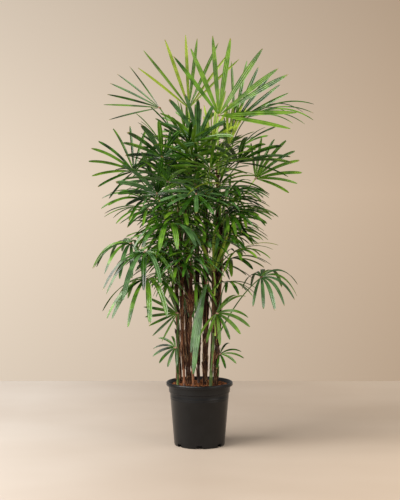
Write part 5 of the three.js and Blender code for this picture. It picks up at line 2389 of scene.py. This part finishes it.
@dataclass(frozen=True)
class Studio:
    """A plain pale floor, soft daylight from the left and the camera, in metres.

    Stops are places and colours: the ends of a ramp first, then what lies between them.
    """

    floor_half: float = 1.451
    floor_drop: float = 0.0006
    floor_reach: float = 0.75
    floor_roughness: float = 0.7
    floor_specular: float = 0.3
    # Painted light: the floor's colour changes from left to right, lightest at the left where the
    # window light falls.
    floor_painted_light_stops: tuple = ((0, "#C8BFB6"), (1, "#BFAE9C"), (0.5, "#B2A496"))
    cloud_size: float = 420
    cloud_detail: float = 2.0
    cloud_range: Pair = (0.35, 0.65)
    cloud_colours: tuple[str, str] = ("#F8F6F4", "#FFFFFF")
    cloud_stretch: Triple = (0.6, 1, 1)
    # Painted light on the backdrop: lighter at the left and along a level band, dimmer to the right
    # and above and below.
    wall_reach: float = 0.17
    wall_painted_light_stops: tuple = ((0, "#EDDCC8"), (1, "#C5AD94"))
    band_range: Pair = (-0.16, 0.15)
    band_painted_light_stops: tuple = ((0, "#EFEFEF"), (1, "#E6E6E6"), (0.5, "#FFFFFF"))
    fill_colour: str = "#F6F1EA"
    fill: float = 0.35
    eye: Triple = (0.0018, -4.4, 0.94)
    pitch: float = 2.953
    lens: float = 87.12
    sensor: float = 36.0
    far: float = 100
    lamps: tuple[Lamp, ...] = (
        Lamp("room", (4.4, -2.6, 2.4), (0, 0, 0.7), 4.0, 120, "#FFF6EC"),
        Lamp("window", (-5.0, -2.9, 4.7), (0, 0, 0.7), 6.0, 960, "#FFFBF6"),
        Lamp("front", (-0.9, -5.4, 4.2), (0, 0, 0.8), 3.0, 150, "#FFFBF6"),
    )

    def floor(self) -> None:
        """Lays the floor."""
        bpy.ops.object.select_all(action="DESELECT")
        bpy.ops.mesh.primitive_grid_add(x_subdivisions=4, y_subdivisions=4,
                                        size=2 * self.floor_half,
                                        location=(0, 0, -self.floor_drop))
        floor = bpy.context.active_object
        floor.name = "floor"
        floor.data.materials.append(self.screed())
        floor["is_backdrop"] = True

    @staticmethod
    def ramp(tree: NodeTree, space: str, axis: str, low: float, high: float,
             stops: Sequence[tuple[float, str]]) -> NodeSocket:
        """Adds a colour that changes along an axis.

        Args:
            tree: the tree that it goes into.
            space: the coordinates that it reads.
            axis: X, Y or Z.
            low: where the ramp starts.
            high: where it ends.
            stops: its stops.

        Returns:
            The colour's socket.
        """
        place = add_node(tree, "TexCoord", {}, {})
        parts = add_node(tree, "SeparateXYZ", {}, {"Vector": place.outputs[space]})
        share = add_node(tree, "MapRange", {"From Min": low, "From Max": high},
                         {"Value": parts.outputs[axis]})
        return add_node(tree, "ValToRGB", {"stops": stops},
                        {"Fac": share.outputs["Result"]}).outputs["Color"]

    def screed(self) -> Material:
        """Makes the floor's pale smooth screed, with painted light: it is warmer and darker to the
        right.

        Returns:
            The material.
        """
        material = new_material("pale_screed")
        tree = material.node_tree
        clouds = mottle(tree, self.cloud_size, self.cloud_detail, *self.cloud_colours,
                        *self.cloud_range, self.cloud_stretch)
        across = self.ramp(tree, "Object", "X", -self.floor_reach, self.floor_reach,
                           self.floor_painted_light_stops)
        colour = add_node(tree, "MixRGB", {"blend_type": "MULTIPLY", "Fac": 1.0},
                          {"Color1": across, "Color2": clouds})
        skin = add_node(tree, "BsdfPrincipled", {
            "Roughness": self.floor_roughness, "Specular IOR Level": self.floor_specular,
        }, {"Base Color": colour.outputs["Color"]})
        add_node(tree, "OutputMaterial", {}, {"Surface": skin.outputs[0]})
        return material

    def sky(self) -> None:
        """Sets the world: a warm pale backdrop with painted light, which dims to the right and is
        lightest along a level band, and soft light all round.
        """
        world = bpy.data.worlds.new("soft_room")
        bpy.context.scene.world = world
        world.use_nodes = True
        tree = world.node_tree
        tree.nodes.clear()
        across = self.ramp(tree, "Generated", "X", -self.wall_reach, self.wall_reach,
                           self.wall_painted_light_stops)
        upward = self.ramp(tree, "Generated", "Z", *self.band_range, self.band_painted_light_stops)
        shade = add_node(tree, "MixRGB", {"blend_type": "MULTIPLY", "Fac": 1.0},
                         {"Color1": across, "Color2": upward})
        seen = add_node(tree, "Background", {"Strength": 1.0}, {"Color": shade.outputs["Color"]})
        felt = add_node(tree, "Background", {
            "Color": linear(self.fill_colour), "Strength": self.fill,
        }, {})
        path = add_node(tree, "LightPath", {}, {})
        both = add_node(tree, "MixShader", {}, {0: path.outputs["Is Camera Ray"],
                                                1: felt.outputs[0], 2: seen.outputs[0]})
        add_node(tree, "OutputWorld", {}, {"Surface": both.outputs[0]})

    def camera(self) -> None:
        """Sets up the camera, level with the crown and a little way off."""
        lens = bpy.data.cameras.new("camera")
        lens.sensor_fit, lens.sensor_width, lens.lens = "AUTO", self.sensor, self.lens
        lens.clip_end = self.far
        holder = bpy.data.objects.new("camera", lens)
        bpy.context.scene.collection.objects.link(holder)
        holder.location = self.eye
        holder.rotation_euler = (radians(90 - self.pitch), 0, 0)
        bpy.context.scene.camera = holder

    def build(self) -> None:
        """Sets up all of the studio."""
        self.camera()
        self.floor()
        self.sky()
        for lamp in self.lamps:
            lamp.hang()
        view = bpy.context.scene.view_settings
        view.view_transform, view.look = "Standard", "None"


def corners() -> list[list[float]]:
    """The shown object's lowest and highest corner as plain lists."""
    return [list(corner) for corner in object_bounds()]


def main() -> None:
    """Builds the plant, its pot and the studio."""
    logging.basicConfig(level=logging.INFO, format="%(name)s: %(message)s")
    studio = Studio()
    studio.build()
    pot = Pot()
    clump = Clump()
    LOG.info("%d fronds, %d leaflets", len(clump.fronds), sum(len(f.grown) for f in clump.fronds))
    pieces = [pot.build(), *PottingMix(pot).build(), *Canes(clump).build(), *Foliage(clump).build()]
    for piece in pieces:
        LOG.info("%s: %d faces", piece.name, len(piece.data.polygons))


if __name__ == "__main__":
    main()
